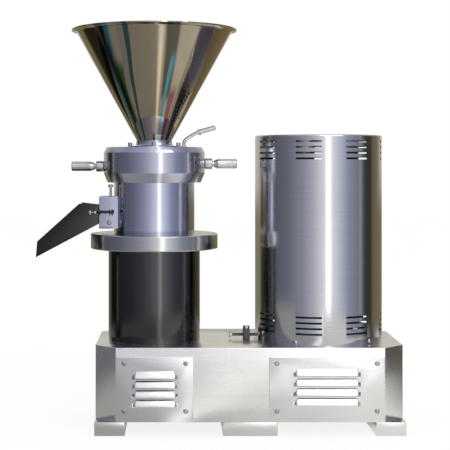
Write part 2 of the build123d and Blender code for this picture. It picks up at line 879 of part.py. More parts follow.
def make_lever_grip():
    """Sleeve on the outer end of the lever, with a wider start."""
    rise = lever_end_rise - lever_second_rise
    run = lever_reach - lever_run
    length = math.hypot(rise, run)
    tilt = math.degrees(math.atan2(rise, run))
    start = lever_bend_radius * 0.6
    bore = lever_rod_radius + press_gap
    profile = make_face(Polyline(
        (start, bore),
        (start, lever_grip_radius + 0.8),
        (start + 5, lever_grip_radius + 0.8),
        (start + 6, lever_grip_radius),
        (length + 1, lever_grip_radius),
        (length + 3, lever_grip_radius - 2),
        (length + 3, 0),
        (length + press_gap, 0),
        (length + press_gap, bore),
        close=True))
    sleeve = revolve(profile, Axis.X)
    return Pos(grinder_x + lever_place + lever_run, 0, ring_top + lever_second_rise) * Rot(0, -tilt, 0) * sleeve


pieces["adjusting_ring"] = make_ring()
pieces["right_handle"] = make_handle(0)
pieces["left_handle"] = make_handle(180)
pieces["right_grip"] = make_grip(0)
pieces["left_grip"] = make_grip(180)
pieces["hopper_collar"] = make_collar()
pieces["collar_screws"] = make_collar_screws()
pieces["hopper"] = make_hopper()
pieces["clamping_lever"] = make_lever()
pieces["lever_grip"] = make_lever_grip()


# Grinding set

def cone_radius(z, extra=0.0):
    """Radius of the grinding cone at a height."""
    share = (z - rotor_bottom) / rotor_height
    return rotor_foot_radius + (rotor_top_radius - rotor_foot_radius) * share + extra


def slanted_grooves(count, depth_side, tilt):
    """Slanted bars that cut the teeth, one row round the grinding cone."""
    lean = math.degrees(math.atan2(rotor_foot_radius - rotor_top_radius, rotor_height))
    middle_z = (rotor_bottom + rotor_top) / 2
    tools = []
    for index in range(count):
        bar = Rot(0, -lean, 0) * Rot(tilt, 0, 0) * Box(2 * groove_depth, groove_width, rotor_height * 2)
        place = Pos(cone_radius(middle_z) + depth_side, 0, middle_z) * bar
        tools.append(Pos(grinder_x, 0, 0) * Rot(0, 0, 360.0 / count * index) * place)
    return tools


def make_rotor():
    """Toothed grinding cone on the spindle."""
    rotor = ring_solid([
        (rotor_seat_radius + press_gap, rotor_bottom),
        (cone_radius(rotor_bottom), rotor_bottom),
        (cone_radius(rotor_top), rotor_top),
        (rotor_seat_radius + press_gap, rotor_top),
    ])
    return rotor - slanted_grooves(rotor_grooves, 0, groove_tilt)


def make_stator():
    """Toothed ring that the rotor turns in."""
    stator = ring_solid([
        (cone_radius(rotor_bottom, grinding_gap), rotor_bottom),
        (stator_radius, rotor_bottom),
        (stator_radius, rotor_top),
        (cone_radius(rotor_top, grinding_gap), rotor_top),
    ])
    return stator - slanted_grooves(stator_grooves, grinding_gap, -groove_tilt)


def make_stator_holder():
    """Sliding cup that carries the stator under the adjusting ring."""
    inner = stator_radius + press_gap
    holder = ring_solid([
        (inner, rotor_bottom + 4),
        (holder_radius, rotor_bottom + 4),
        (holder_radius, holder_top),
        (throat_radius, holder_top),
        (throat_radius, holder_top - 7),
        (rotor_top_radius + grinding_gap + 6, rotor_top + press_gap),
        (inner, rotor_top + press_gap),
    ])
    gap = 0.2
    holder -= block((grinder_x + housing_bore - guide_key_depth - gap, -guide_key_width / 2 - gap,
                     rotor_bottom),
                    (grinder_x + housing_bore + 1, guide_key_width / 2 + gap,
                     holder_key_bottom + guide_key_height + 6))
    return holder


def make_impeller():
    """Feed impeller above the rotor: hub with slanted blades that push the paste down."""
    low = rotor_top
    hub = tube(impeller_hub, spindle_thread_radius + press_gap, low, low + impeller_height)
    for angle, dx, dy in polar(impeller_blades, 1.0, 15):
        blade = Pos((impeller_hub + throat_radius - 5) / 2, 0, low + impeller_height / 2) * Rot(35, 0, 0) * Box(
            throat_radius - 5 - impeller_hub + 6, impeller_blade, impeller_height)
        limit = tube(throat_radius - 2, impeller_hub - 4, low, low + impeller_height, 0)
        hub += Pos(grinder_x, 0, 0) * Rot(0, 0, angle) * (blade & limit)
    return hub


def make_rotor_nut():
    """Domed nut that holds impeller and rotor on the spindle."""
    low = rotor_top + impeller_height
    body = hexagon(12, low, low + 9, grinder_x, 0)
    dome = Pos(grinder_x, 0, low + 9) * Sphere(9) & block((grinder_x - 20, -20, low + 9), (grinder_x + 20, 20, low + 30))
    return body + dome - rod(spindle_thread_radius + press_gap, low - 1, low + 10, grinder_x)


# Spindle, bearings and seal

def make_spindle():
    """Stepped spindle from the pulley up to the rotor nut."""
    return ring_solid([
        (0, shaft_bottom),
        (spindle_end_radius - 1, shaft_bottom),
        (spindle_end_radius, shaft_bottom + 1),
        (spindle_end_radius, pulley_level + pulley_half + 2),
        (spindle_radius, pulley_level + pulley_half + 2),
        (spindle_radius, lower_bearing_z + bearing_width),
        (spindle_radius + 3, lower_bearing_z + bearing_width + 1),
        (spindle_radius + 3, upper_bearing_z - 1),
        (spindle_radius, upper_bearing_z),
        (spindle_radius, rotor_bottom),
        (rotor_seat_radius, rotor_bottom),
        (rotor_seat_radius, rotor_top),
        (spindle_thread_radius, rotor_top),
        (spindle_thread_radius, rotor_top + impeller_height + 8),
        (0, rotor_top + impeller_height + 8),
    ])


def bearing(low, bore, outer, x):
    """Sealed ball bearing as a ring with recessed shields."""
    third = (outer - bore) / 3
    return ring_solid([
        (bore, low), (bore + third, low), (bore + third + 1, low + 1.2), (outer - third - 1, low + 1.2),
        (outer - third, low), (outer, low), (outer, low + bearing_width), (outer - third, low + bearing_width),
        (outer - third - 1, low + bearing_width - 1.2), (bore + third + 1, low + bearing_width - 1.2),
        (bore + third, low + bearing_width), (bore, low + bearing_width)], x)


def make_spindle_bearings():
    """The two bearings in the cartridge."""
    return Compound([bearing(z, spindle_radius + running_gap, bearing_radius, grinder_x)
                     for z in (lower_bearing_z, upper_bearing_z)])


def make_cartridge():
    """Bearing cartridge that hangs in the column from its flange."""
    bore = bearing_radius + press_gap
    return ring_solid([
        (bore, cartridge_bottom),
        (cartridge_radius, cartridge_bottom),
        (cartridge_radius, column_top - column_flange / 2 + press_gap),
        (cartridge_flange_radius, column_top - column_flange / 2 + press_gap),
        (cartridge_flange_radius, column_top - press_gap),
        (bore, column_top - press_gap),
        (bore, upper_bearing_z),
        (bore - 4, upper_bearing_z - press_gap),
        (bore - 4, lower_bearing_z + bearing_width + press_gap),
        (bore, lower_bearing_z + bearing_width + press_gap),
    ])


def make_bearing_cap():
    """Cap ring that closes the cartridge below."""
    return tube(cartridge_radius, spindle_radius + 1, cartridge_bottom - bearing_cap_thickness, cartridge_bottom)


def make_seal_seat():
    """Fixed ring of the shaft seal, in disc and housing floor."""
    return tube(seal_outer, spindle_radius + 0.6, disc_top - seal_sink, disc_top + seal_height)


def make_seal_ring():
    """Turning ring of the shaft seal, with its slinger lip."""
    low = disc_top + seal_height + running_gap
    return ring_solid([
        (spindle_radius + press_gap, low),
        (seal_outer, low),
        (seal_outer, low + slinger_level - 2),
        (seal_outer + slinger_reach, low + slinger_level),
        (seal_outer + slinger_reach, low + slinger_level + slinger_thickness),
        (seal_outer, low + seal_ring_height),
        (spindle_radius + press_gap, low + seal_ring_height),
    ])


# Belt drive

def groove_levels():
    """Heights of the belt grooves."""
    return [pulley_level + (n - (belt_count - 1) / 2) * belt_pitch for n in range(belt_count)]


def belt_half_width(radius_in):
    """Half width of the belt section at a depth below its top."""
    return belt_top_width / 2 - radius_in * math.tan(math.radians(belt_flank_angle))


def make_pulley(radius, bore, x):
    """V-belt pulley with one groove for each belt, radius at the belts' pitch line."""
    top = radius + belt_middle - 0.5
    depth = belt_height + 2.5
    low = pulley_level - pulley_half
    points = [(bore, low), (top, low)]
    for z in groove_levels():
        wide = belt_half_width(0.5) + seat_gap
        narrow = belt_half_width(0.5 + depth) + seat_gap
        points += [(top, z - wide), (top - depth, z - narrow), (top - depth, z + narrow), (top, z + wide)]
    points += [(top, pulley_level + pulley_half), (bore, pulley_level + pulley_half)]
    pulley = ring_solid(points, x)
    recess = top - depth - pulley_rim
    hub = bore + pulley_web
    if recess - hub > 4:
        for z in (low - 1, pulley_level + pulley_web / 2):
            pulley -= tube(recess, hub, z, z + pulley_half - pulley_web / 2 + 1, x)
    return pulley


def make_belts():
    """V-belts round both pulleys."""
    spread = motor_x - grinder_x
    swing = math.asin((drive_pulley_radius - driven_pulley_radius) / spread)
    belts = []
    for z in groove_levels():
        belt = belt_arc(drive_pulley_radius, motor_x, z, -90 - math.degrees(swing), 180 + 2 * math.degrees(swing))
        belt += belt_arc(driven_pulley_radius, grinder_x, z, 90 + math.degrees(swing), 180 - 2 * math.degrees(swing))
        run = spread * math.cos(swing)
        for side in (1, -1):
            strand = extrude(Plane.YZ * belt_section(driven_pulley_radius), run)
            if side < 0:
                strand = mirror(strand, Plane.XZ)
            strand = Rot(0, 0, side * math.degrees(swing)) * strand
            belt += Pos(grinder_x, 0, z) * strand
        belts.append(belt)
    return Compound(belts)


def belt_section(radius):
    """Belt section across its run, radius along local x and height along local y."""
    top = radius + belt_middle
    wide = belt_half_width(0)
    narrow = belt_half_width(belt_height)
    return make_face(Polyline((top, -wide), (top, wide), (top - belt_height, narrow), (top - belt_height, -narrow),
                              close=True))


def belt_arc(radius, x, z, start, sweep_angle):
    """The belt's turn round one pulley."""
    section = Plane.XZ * belt_section(radius)
    return Pos(x, 0, z) * Rot(0, 0, start) * revolve(section, Axis.Z, sweep_angle)


def make_pulley_nut(x, radius):
    """Lock nut and washer under a pulley."""
    low = pulley_level - pulley_half
    nut = hexagon(radius + 8, low - 12, low - 2, x, 0) + rod(radius + 10, low - 2, low, x)
    return nut - rod(radius + press_gap, low - 13, low + 1, x)


pieces["rotor"] = make_rotor()
pieces["stator"] = make_stator()
pieces["stator_holder"] = make_stator_holder()
pieces["feed_impeller"] = make_impeller()
pieces["rotor_nut"] = make_rotor_nut()
pieces["spindle"] = make_spindle()
pieces["spindle_bearings"] = make_spindle_bearings()
pieces["bearing_cartridge"] = make_cartridge()
pieces["bearing_cap"] = make_bearing_cap()
pieces["seal_seat"] = make_seal_seat()
pieces["seal_ring"] = make_seal_ring()
pieces["driven_pulley"] = make_pulley(driven_pulley_radius, spindle_end_radius + press_gap, grinder_x)
pieces["driven_pulley_nut"] = make_pulley_nut(grinder_x, spindle_end_radius)
pieces["drive_pulley"] = make_pulley(drive_pulley_radius, motor_shaft_radius + press_gap, motor_x)
pieces["drive_pulley_nut"] = make_pulley_nut(motor_x, motor_shaft_radius)
pieces["v_belts"] = make_belts()


# Motor

def make_motor_plate():
    """Sliding plate under the motor."""
    half = motor_plate_size / 2
    plate = block((motor_x - half, -half, base_height), (motor_x + half, half, motor_plate_top))
    plate = chamfer(plate.edges().filter_by(Axis.Z), 6)
    plate &= rod(cover_ring_inner - 2, base_height, motor_plate_top, motor_x)
    plate -= rod(drive_pulley_radius + 8, base_height - 1, motor_plate_top + 1, motor_x)
    for dx, dy in motor_bolt_places():
        plate -= rod(motor_bolt_radius + motor_bolt_hole_gap, base_height - 1, motor_plate_top + 1, motor_x + dx, dy)
    return plate


def make_motor_frame():
    """Finned motor frame on its flange."""
    low = motor_flange_top
    frame = ring_solid([
        (motor_shaft_radius + running_gap, motor_plate_top),
        (motor_flange_radius, motor_plate_top),
        (motor_flange_radius, low),
        (motor_frame_radius, low + 14),
        (motor_frame_radius, motor_frame_top),
        (motor_shaft_radius + running_gap, motor_frame_top),
    ], motor_x)
    fins = []
    for index in range(motor_fin_count):
        angle = 360.0 / motor_fin_count * (index + 0.5)
        fins.append(Pos(motor_x, 0, 0) * Rot(0, 0, angle) * block(
            (motor_frame_radius - 2, -motor_fin_thickness / 2, low + 20),
            (motor_fin_radius, motor_fin_thickness / 2, motor_frame_top - 12)))
    frame += fins
    for dx, dy in motor_bolt_places():
        frame -= rod(motor_bolt_radius + motor_bolt_hole_gap, motor_plate_top - 1, low + 1, motor_x + dx, dy)
        frame -= rod(hex_radius + 6, low, low + 15, motor_x + dx, dy)
    return frame


def make_motor_bolts():
    """Bolts through motor flange, plate and base top, with nuts below."""
    bolts = []
    nut_bottom = wall_top - motor_washer_thickness - motor_nut_height
    for dx, dy in motor_bolt_places():
        x = motor_x + dx
        bolt = rod(motor_bolt_radius, nut_bottom - motor_bolt_end, motor_flange_top + 1, x, dy)
        bolt += hexagon(hex_radius + 1, motor_flange_top, motor_flange_top + 8, x, dy)
        bolts.append(bolt)
    return Compound(bolts)


def make_motor_nuts():
    """Nuts and wide washers of the motor bolts, under the base top."""
    nuts = []
    nut_top = wall_top - motor_washer_thickness
    nut_bottom = nut_top - motor_nut_height
    for dx, dy in motor_bolt_places():
        x = motor_x + dx
        nut = rod(motor_washer_radius, nut_top, wall_top, x, dy) + hexagon(hex_radius + 1, nut_bottom, nut_top, x, dy)
        nuts.append(nut - rod(motor_bolt_radius + press_gap, nut_bottom - 1, wall_top + 1, x, dy))
    return Compound(nuts)


def make_motor_shaft():
    """Motor shaft from the pulley nut up to the fan."""
    fan_end = motor_frame_top + fan_lift + fan_height + 4
    return ring_solid([
        (0, shaft_bottom),
        (motor_shaft_radius - 1, shaft_bottom),
        (motor_shaft_radius, shaft_bottom + 1),
        (motor_shaft_radius, motor_frame_top + 4),
        (motor_shaft_radius - 4, motor_frame_top + 5),
        (motor_shaft_radius - 4, fan_end),
        (0, fan_end),
    ], motor_x)


def make_fan():
    """Radial-blade cooling fan on the shaft's upper end."""
    low = motor_frame_top + fan_lift
    fan = ring_solid([
        (motor_shaft_radius - 4 + press_gap, low), (fan_radius - 6, low), (fan_radius - 6, low + 3),
        (motor_shaft_radius + 8, low + 5), (motor_shaft_radius + 4, low + fan_height),
        (motor_shaft_radius - 4 + press_gap, low + fan_height)], motor_x)
    for index in range(fan_blades):
        fan += Pos(motor_x, 0, 0) * Rot(0, 0, 360.0 / fan_blades * index) * block(
            (motor_shaft_radius + 2, -fan_blade_thickness / 2, low + 1),
            (fan_radius, fan_blade_thickness / 2, low + fan_height - 4))
    return fan


def make_cowl():
    """Fan cowl with an air grille of ring slots on top."""
    top = motor_frame_top + cowl_height
    cowl = ring_solid([
        (cowl_radius - cowl_wall, motor_frame_top - cowl_skirt), (cowl_radius, motor_frame_top - cowl_skirt),
        (cowl_radius, top - 6), (cowl_radius - 6, top), (0, top), (0, top - cowl_wall),
        (cowl_radius - 7, top - cowl_wall), (cowl_radius - cowl_wall, top - 7)], motor_x)
    slot = Box(grille_slot_length, grille_slot_width, 6 * cowl_wall)
    slots = []
    for angle, dx, dy in polar(grille_slots, grille_slot_circle):
        slots.append(Pos(motor_x + dx, dy, top) * Rot(0, 0, angle) * slot)
    return cowl - slots


def make_terminal_box():
    """Terminal box on the back of the motor frame, with its lid."""
    z = (motor_flange_top + motor_frame_top) / 2
    half = terminal_box_width / 2
    box = block((motor_x - half, motor_frame_radius - 8, z - terminal_box_height / 2),
                (motor_x + half, terminal_box_reach, z + terminal_box_height / 2))
    box = chamfer(box.edges().filter_by(Axis.Y), 8)
    return box


pieces["motor_plate"] = make_motor_plate()
terminal_box = make_terminal_box()
motor_frame = make_motor_frame()
pieces["terminal_box"] = terminal_box - motor_frame
pieces["motor_frame"] = motor_frame
pieces["motor_bolts"] = make_motor_bolts()
pieces["motor_nuts"] = make_motor_nuts()
pieces["motor_shaft"] = make_motor_shaft()
pieces["cooling_fan"] = make_fan()
pieces["fan_cowl"] = make_cowl()


# Motor cover

def make_cover():
    """Round cover over the motor, slotted near its top and bottom."""
    cover = ring_solid([
        (cover_radius - cover_wall, base_height),
        (cover_radius, base_height),
        (cover_radius, cover_top),
        (0, cover_top),
        (0, cover_top - cover_wall),
        (cover_radius - cover_wall, cover_top - cover_wall),
    ], motor_x)
    cover = fillet(outer_edges(cover, cover_top, motor_x), cover_edge)
    slots = []
    for group in range(slot_groups):
        angle = slot_first_angle + 360.0 / slot_groups * group - 90
        for level in cover_slot_levels():
            slot = Plane.YZ * Rectangle(slot_length, slot_height)
            tool = Pos(cover_radius - 20, 0, level) * extrude(slot, 30)
            slots.append(Pos(motor_x, 0, 0) * Rot(0, 0, angle) * tool)
    cover -= slots
    for angle, dx, dy in cover_screw_places():
        hole = Rot(0, 0, angle) * rod_along_x(panel_screw_shank + screw_hole_gap, cover_radius - 8, cover_radius + 3,
                                              0, 0)
        cover -= Pos(motor_x, 0, base_height + cover_screw_level) * hole
    cover -= rod_along_x(tension_screw_radius + 0.6, motor_x - cover_radius - 4, motor_x - cover_radius + 12,
                         tension_block_y, base_height + tension_screw_level)
    return cover


def cover_slot_levels():
    """Heights of the cover's slots."""
    for n in range(slot_rows):
        yield cover_top - upper_slot_drop + upper_slot_pitch * n
        yield base_height + lower_slot_level + lower_slot_pitch * n


def cover_screw_places():
    """Angle and direction of each screw round the cover's foot."""
    return polar(cover_screw_count, 1.0, cover_screw_first_angle - 90)


def make_cover_ring():
    """Spigot ring on the base that the cover stands round and is screwed to."""
    outer = cover_ring_outer
    ring = tube(outer, cover_ring_inner, base_height, base_height + 2 * cover_screw_level + 3, motor_x)
    for angle, dx, dy in cover_screw_places():
        hole = Rot(0, 0, angle) * rod_along_x(panel_screw_shank + press_gap, outer - 7, outer + 1, 0, 0)
        ring -= Pos(motor_x, 0, base_height + cover_screw_level) * hole
    ring -= rod_along_x(tension_screw_radius + 0.6, motor_x - outer - 1, motor_x - outer + 12, tension_block_y,
                        base_height + tension_screw_level)
    return ring


def make_cover_screws():
    """Button-head screws round the cover's foot."""
    screws = []
    for angle, dx, dy in cover_screw_places():
        head = Pos(cover_radius + press_gap, 0, 0) * Rot(0, 90, 0) * button_head(cover_screw_head, cover_screw_rise)
        screw = head + rod_along_x(panel_screw_shank, cover_radius - 9, cover_radius + 1, 0, 0)
        screws.append(Pos(motor_x, 0, base_height + cover_screw_level) * Rot(0, 0, angle) * screw)
    return Compound(screws)


pieces["motor_cover"] = make_cover()
pieces["cover_ring"] = make_cover_ring()
pieces["cover_screws"] = make_cover_screws()


# Belt tension block and cable gland

def make_tension_block():
    """Block on the base that carries the tension screw."""
    x = base_x + tension_block_offset
    y = tension_block_y
    body = block((x - tension_block_width / 2, y - tension_block_depth / 2, base_height),
                 (x + tension_block_width / 2, y + tension_block_depth / 2, base_height + tension_block_height))
    body = chamfer(body.edges().group_by(Axis.Z)[-1], 1.2)
    return body - rod_along_x(tension_screw_radius + running_gap, x - tension_block_width, x + tension_block_width, y,
                              base_height + tension_screw_level)


def make_tension_block_bolt():
    """Hexagon bolt head on top of the tension block."""
    x = base_x + tension_block_offset
    top = base_height + tension_block_height
    return hexagon(7.0, top, top + hex_height, x, tension_block_y)


def make_tension_screw():
    """Long screw that pushes the motor plate to tighten the belts."""
    head_x = base_x + tension_screw_head_place
    z = base_height + tension_screw_level
    head = Plane.YZ * RegularPolygon(tension_screw_head_radius, 6, major_radius=False)
    screw = Pos(head_x, tension_block_y, z) * extrude(head, tension_screw_head_length)
    screw += rod_along_x(tension_screw_radius, head_x + 1, plate_left - seat_gap, tension_block_y, z)
    return screw


def make_gland():
    """Cable gland in the back wall, empty."""
    x = base_x + gland_offset
    gland = rod_along_y(gland_radius - 4 - press_gap, back_y - base_wall - 8, back_y + 2, x, gland_level)
    nut = Plane.XZ * RegularPolygon(gland_radius, 6, major_radius=False)
    gland += Pos(x, back_y, gland_level) * extrude(nut, -8)
    gland += rod_along_y(gland_radius - 1, back_y + 8, back_y + gland_length - 3, x, gland_level)
    gland += rod_along_y(gland_radius - 3, back_y + gland_length - 3, back_y + gland_length, x, gland_level)
    gland += Pos(x, back_y - base_wall - 5, gland_level) * extrude(nut, -5)
    return gland - rod_along_y(gland_bore, back_y - 30, back_y + gland_length + 5, x, gland_level)


pieces["tension_block"] = make_tension_block()
pieces["tension_block_bolt"] = make_tension_block_bolt()
pieces["tension_screw"] = make_tension_screw()
pieces["cable_gland"] = make_gland()


os.makedirs("parts", exist_ok=True)
for name, piece in pieces.items():
    export_step(piece, f"parts/{name}.step")
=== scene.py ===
import json
import logging
import math
from dataclasses import dataclass
from enum import Enum
from typing import Callable, Iterable, Optional, Sequence, Union

import bmesh
import bpy
from mathutils import Matrix, Vector


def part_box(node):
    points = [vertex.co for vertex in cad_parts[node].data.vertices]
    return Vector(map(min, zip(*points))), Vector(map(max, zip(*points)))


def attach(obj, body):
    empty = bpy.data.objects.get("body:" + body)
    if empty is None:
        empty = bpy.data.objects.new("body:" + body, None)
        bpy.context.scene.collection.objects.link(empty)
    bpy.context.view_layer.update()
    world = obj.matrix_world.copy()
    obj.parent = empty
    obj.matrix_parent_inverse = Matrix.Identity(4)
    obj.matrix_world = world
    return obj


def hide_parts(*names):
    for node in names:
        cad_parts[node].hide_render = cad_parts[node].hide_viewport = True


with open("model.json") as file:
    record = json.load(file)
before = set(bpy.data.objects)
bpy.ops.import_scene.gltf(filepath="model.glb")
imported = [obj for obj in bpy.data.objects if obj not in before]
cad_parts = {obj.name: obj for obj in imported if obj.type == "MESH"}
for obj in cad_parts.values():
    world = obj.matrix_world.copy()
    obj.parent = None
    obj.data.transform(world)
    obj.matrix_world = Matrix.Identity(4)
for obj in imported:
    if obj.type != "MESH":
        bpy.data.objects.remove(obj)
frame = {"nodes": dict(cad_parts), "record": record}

LOG = logging.getLogger("mill")
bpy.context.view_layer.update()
MM = 0.001

Number = Union[int, float]
Point = tuple[float, float, float]
Profile = list[tuple[float, float]]


class Axis(Enum):
    """Direction in which a brushed finish runs."""

    ALONG_X = (0, 1, 1)
    ALONG_Y = (1, 0, 1)
    ROUND = (0, 0, 1)


class Signal:
    """One socket of a shader tree that takes part in arithmetic."""

    def __init__(self, graph: "Tree", socket: bpy.types.NodeSocket) -> None:
        """Wrap a socket.

        Args:
            graph: The tree that the socket belongs to.
            socket: The output socket.
        """
        self.graph = graph
        self.socket = socket

    def _math(self, operation: str, *values: "Term", swap: bool = False) -> "Signal":
        """Add one Math node.

        Args:
            operation: The Math node's operation.
            values: The other operands.
            swap: Whether this signal is the last operand.

        Returns:
            The node's result.
        """
        terms = [*values, self] if swap else [self, *values]
        return self.graph.node("ShaderNodeMath", {"operation": operation}, dict(enumerate(terms)))

    def __add__(self, other: "Term") -> "Signal":
        """Sum."""
        return self._math("ADD", other)

    __radd__ = __add__

    def __mul__(self, other: "Term") -> "Signal":
        """Product."""
        return self._math("MULTIPLY", other)

    __rmul__ = __mul__

    def __sub__(self, other: "Term") -> "Signal":
        """Difference."""
        return self._math("SUBTRACT", other)

    def __rsub__(self, other: "Term") -> "Signal":
        """Difference with this signal taken away."""
        return self._math("SUBTRACT", other, swap=True)

    def __truediv__(self, other: "Term") -> "Signal":
        """Quotient."""
        return self._math("DIVIDE", other)

    def __pow__(self, other: "Term") -> "Signal":
        """Power."""
        return self._math("POWER", other)

    def clamp(self, low: "Term" = 0.0, high: "Term" = 1.0) -> "Signal":
        """This signal kept between two values."""
        return self._math("MAXIMUM", low)._math("MINIMUM", high)

    def ramp(self, low: Number, high: Number, start: Number = 0.0, end: Number = 1.0) -> "Signal":
        """Map low..high smoothly to start..end.

        Args:
            low: Input that gives start.
            high: Input that gives end.
            start: Output at low.
            end: Output at high.

        Returns:
            The mapped signal.
        """
        return self.graph.node(
            "ShaderNodeMapRange",
            {"interpolation_type": "SMOOTHSTEP"},
            {"Value": self, "From Min": low, "From Max": high, "To Min": start, "To Max": end},
        )

    def absolute(self) -> "Signal":
        """The signal without its sign."""
        return self._math("ABSOLUTE")

    def bump_at(self, centre: Number, width: Number) -> "Signal":
        """1 where the signal is at centre, falling to 0 at width from it."""
        return (self - centre).absolute().ramp(0.0, width, 1.0, 0.0)


Term = Union[Signal, Number, Sequence[Number]]


class Tree:
    """A node tree that is filled through one method."""

    def __init__(self, tree: bpy.types.NodeTree) -> None:
        """Wrap a tree.

        Args:
            tree: The node tree.
        """
        self.tree = tree

    def node(self, kind: str, settings: Optional[dict] = None, inputs: Optional[dict] = None,
             output: Union[int, str, None] = 0) -> Optional[Signal]:
        """Add a node.

        Args:
            kind: The node's type.
            settings: Attributes that are set first; "stops" fills a colour ramp.
            inputs: Socket values or signals by name or index.
            output: Which output is wanted, or None for a node that has none.

        Returns:
            The wanted output.
        """
        node = self.tree.nodes.new(kind)
        for key, value in (settings or {}).items():
            if key == "stops":
                self._fill_ramp(node.color_ramp, value)
            else:
                setattr(node, key, value)
        for key, value in (inputs or {}).items():
            socket = node.inputs[key]
            if isinstance(value, Signal):
                self.tree.links.new(value.socket, socket)
            else:
                socket.default_value = value
        return None if output is None else Signal(self, node.outputs[output])

    @staticmethod
    def _fill_ramp(ramp: bpy.types.ColorRamp, stops: Sequence[tuple[float, Sequence[float]]]) -> None:
        """Set a colour ramp's stops.

        Args:
            ramp: The ramp.
            stops: Place and colour of each stop.
        """
        while len(ramp.elements) < len(stops):
            ramp.elements.new(1.0)
        for element, (place, colour) in zip(ramp.elements, stops):
            element.position = place
            element.color = (*colour, 1.0)


class Graph(Tree):
    """A material's node tree, written as expressions."""

    def __init__(self, name: str) -> None:
        """Start an empty material.

        Args:
            name: The material's name.
        """
        self.material = bpy.data.materials.new(name)
        self.material.use_nodes = True
        super().__init__(self.material.node_tree)
        self.tree.nodes.clear()

    def mix(self, factor: Term, first: Term, second: Term, blend: str = "MIX") -> Signal:
        """Mix two colours.

        Args:
            factor: Share of the second colour.
            first: First colour.
            second: Second colour.
            blend: How they are mixed.

        Returns:
            The mixed colour.
        """
        def full(value: Term) -> Term:
            """A colour with its alpha."""
            return (*value, 1.0) if isinstance(value, (tuple, list)) and len(value) == 3 else value

        settings = {"data_type": "RGBA", "blend_type": blend}
        return self.node("ShaderNodeMix", settings, {0: factor, 6: full(first), 7: full(second)}, 2)

    def position(self, centre: Point = (0.0, 0.0, 0.0)) -> Signal:
        """Object coordinates measured from a centre, in metres."""
        place = self.node("ShaderNodeTexCoord", output="Object")
        return self.node("ShaderNodeMapping", {}, {"Vector": place, "Location": [-c for c in centre]})

    def parts(self, vector: Signal) -> tuple[Signal, Signal, Signal]:
        """The three components of a vector."""
        split = self.node("ShaderNodeSeparateXYZ", {}, {0: vector})
        outputs = split.socket.node.outputs
        return tuple(Signal(self, outputs[i]) for i in range(3))

    def join(self, x: Term, y: Term, z: Term) -> Signal:
        """A vector from three components."""
        return self.node("ShaderNodeCombineXYZ", {}, {0: x, 1: y, 2: z})

    def azimuth(self, x: Signal, y: Signal) -> Signal:
        """Angle in degrees from the front, positive towards +X."""
        return self.node("ShaderNodeMath", {"operation": "ARCTAN2"}, {0: x, 1: y * -1.0}) * (180 / math.pi)

    def noise(self, vector: Signal, scale: Number, detail: Number = 3.0, roughness: Number = 0.55,
              distortion: Number = 0.0) -> Signal:
        """Fractal noise about 0.5."""
        inputs = {"Vector": vector, "Scale": scale, "Detail": detail, "Roughness": roughness,
                  "Distortion": distortion}
        return self.node("ShaderNodeTexNoise", {}, inputs)

    def finish(self, inputs: dict) -> bpy.types.Material:
        """Close the tree with the surface shader.

        Args:
            inputs: The surface shader's values and signals.

        Returns:
            The finished material.
        """
        surface = self.node("ShaderNodeBsdfPrincipled", {}, inputs)
        self.node("ShaderNodeOutputMaterial", {}, {"Surface": surface}, None)
        return self.material

    def bump(self, height: Signal, strength: Number, distance: Number) -> Signal:
        """A normal from a height in the given distance, in metres."""
        return self.node("ShaderNodeBump", {}, {"Height": height, "Strength": strength, "Distance": distance})


@dataclass(frozen=True)
class BrushedSteel:
    """Stainless steel with fine parallel lines, cloudy sheen and light wear."""

    name: str
    colour: Point
    roughness: float = 0.26
    lines: Axis = Axis.ALONG_X
    centre: Point = (0.0, 0.0, 0.0)
    cloud: float = 0.10
    line_depth: float = 0.35
    anisotropy: float = 0.5
    smudge: float = 0.06

    def build(self) -> bpy.types.Material:
        """Make the material.

        Returns:
            The finished material.
        """
        g = Graph(self.name)
        place = g.position(self.centre)
        grain_place = self._grain_place(g, place)
        fine = g.noise(grain_place, 1.0, 4.0, 0.6)
        coarse = g.noise(grain_place, 0.21, 2.0, 0.5)
        clouds = g.noise(place, 5.0, 3.0, 0.55, 0.4)
        marks = g.noise(place, 21.0, 4.0, 0.6, 1.2).ramp(0.56, 0.78)
        shade = 1.0 + (clouds - 0.5) * (2 * self.cloud) + (fine - 0.5) * 0.16 + (coarse - 0.5) * 0.10
        colour = g.mix(1.0, self.colour, g.join(shade, shade, shade), "MULTIPLY")
        rough = (self.roughness + (clouds - 0.5) * 0.10 + (fine - 0.5) * 0.12 + marks * self.smudge).clamp(0.02, 0.9)
        height = fine * 0.7 + coarse * 0.3
        return g.finish({
            "Base Color": colour,
            "Metallic": 1.0,
            "Roughness": rough,
            "Anisotropic": self.anisotropy,
            "Normal": g.bump(height, self.line_depth, 0.00012),
        })

    def _grain_place(self, g: Graph, place: Signal) -> Signal:
        """Coordinates that stretch noise into lines.

        Args:
            g: The tree.
            place: Object coordinates from the finish's centre.

        Returns:
            The stretched coordinates.
        """
        x, y, z = g.parts(place)
        if self.lines is Axis.ROUND:
            radius = (x * x + y * y) ** 0.5
            return g.join(x * 9.0, y * 9.0, (radius + z) * 1500.0)
        along = [1500.0 if across else 12.0 for across in self.lines.value]
        return g.join(x * along[0], y * along[1], z * along[2])


@dataclass(frozen=True)
class PaintedReflectionBand:
    """Painted reflection: a soft band of reflected surroundings, painted into the colour of the hopper's cone and
    running up it.

    Angles are in degrees from the front, heights are shares of the cone from its neck.
    """

    rim: float
    neck: float
    half_width: float
    # Colour of the painted reflection in this band.
    reflection_colour: Point
    low: float = -0.3
    high: float = 1.3
    share: float = 0.9


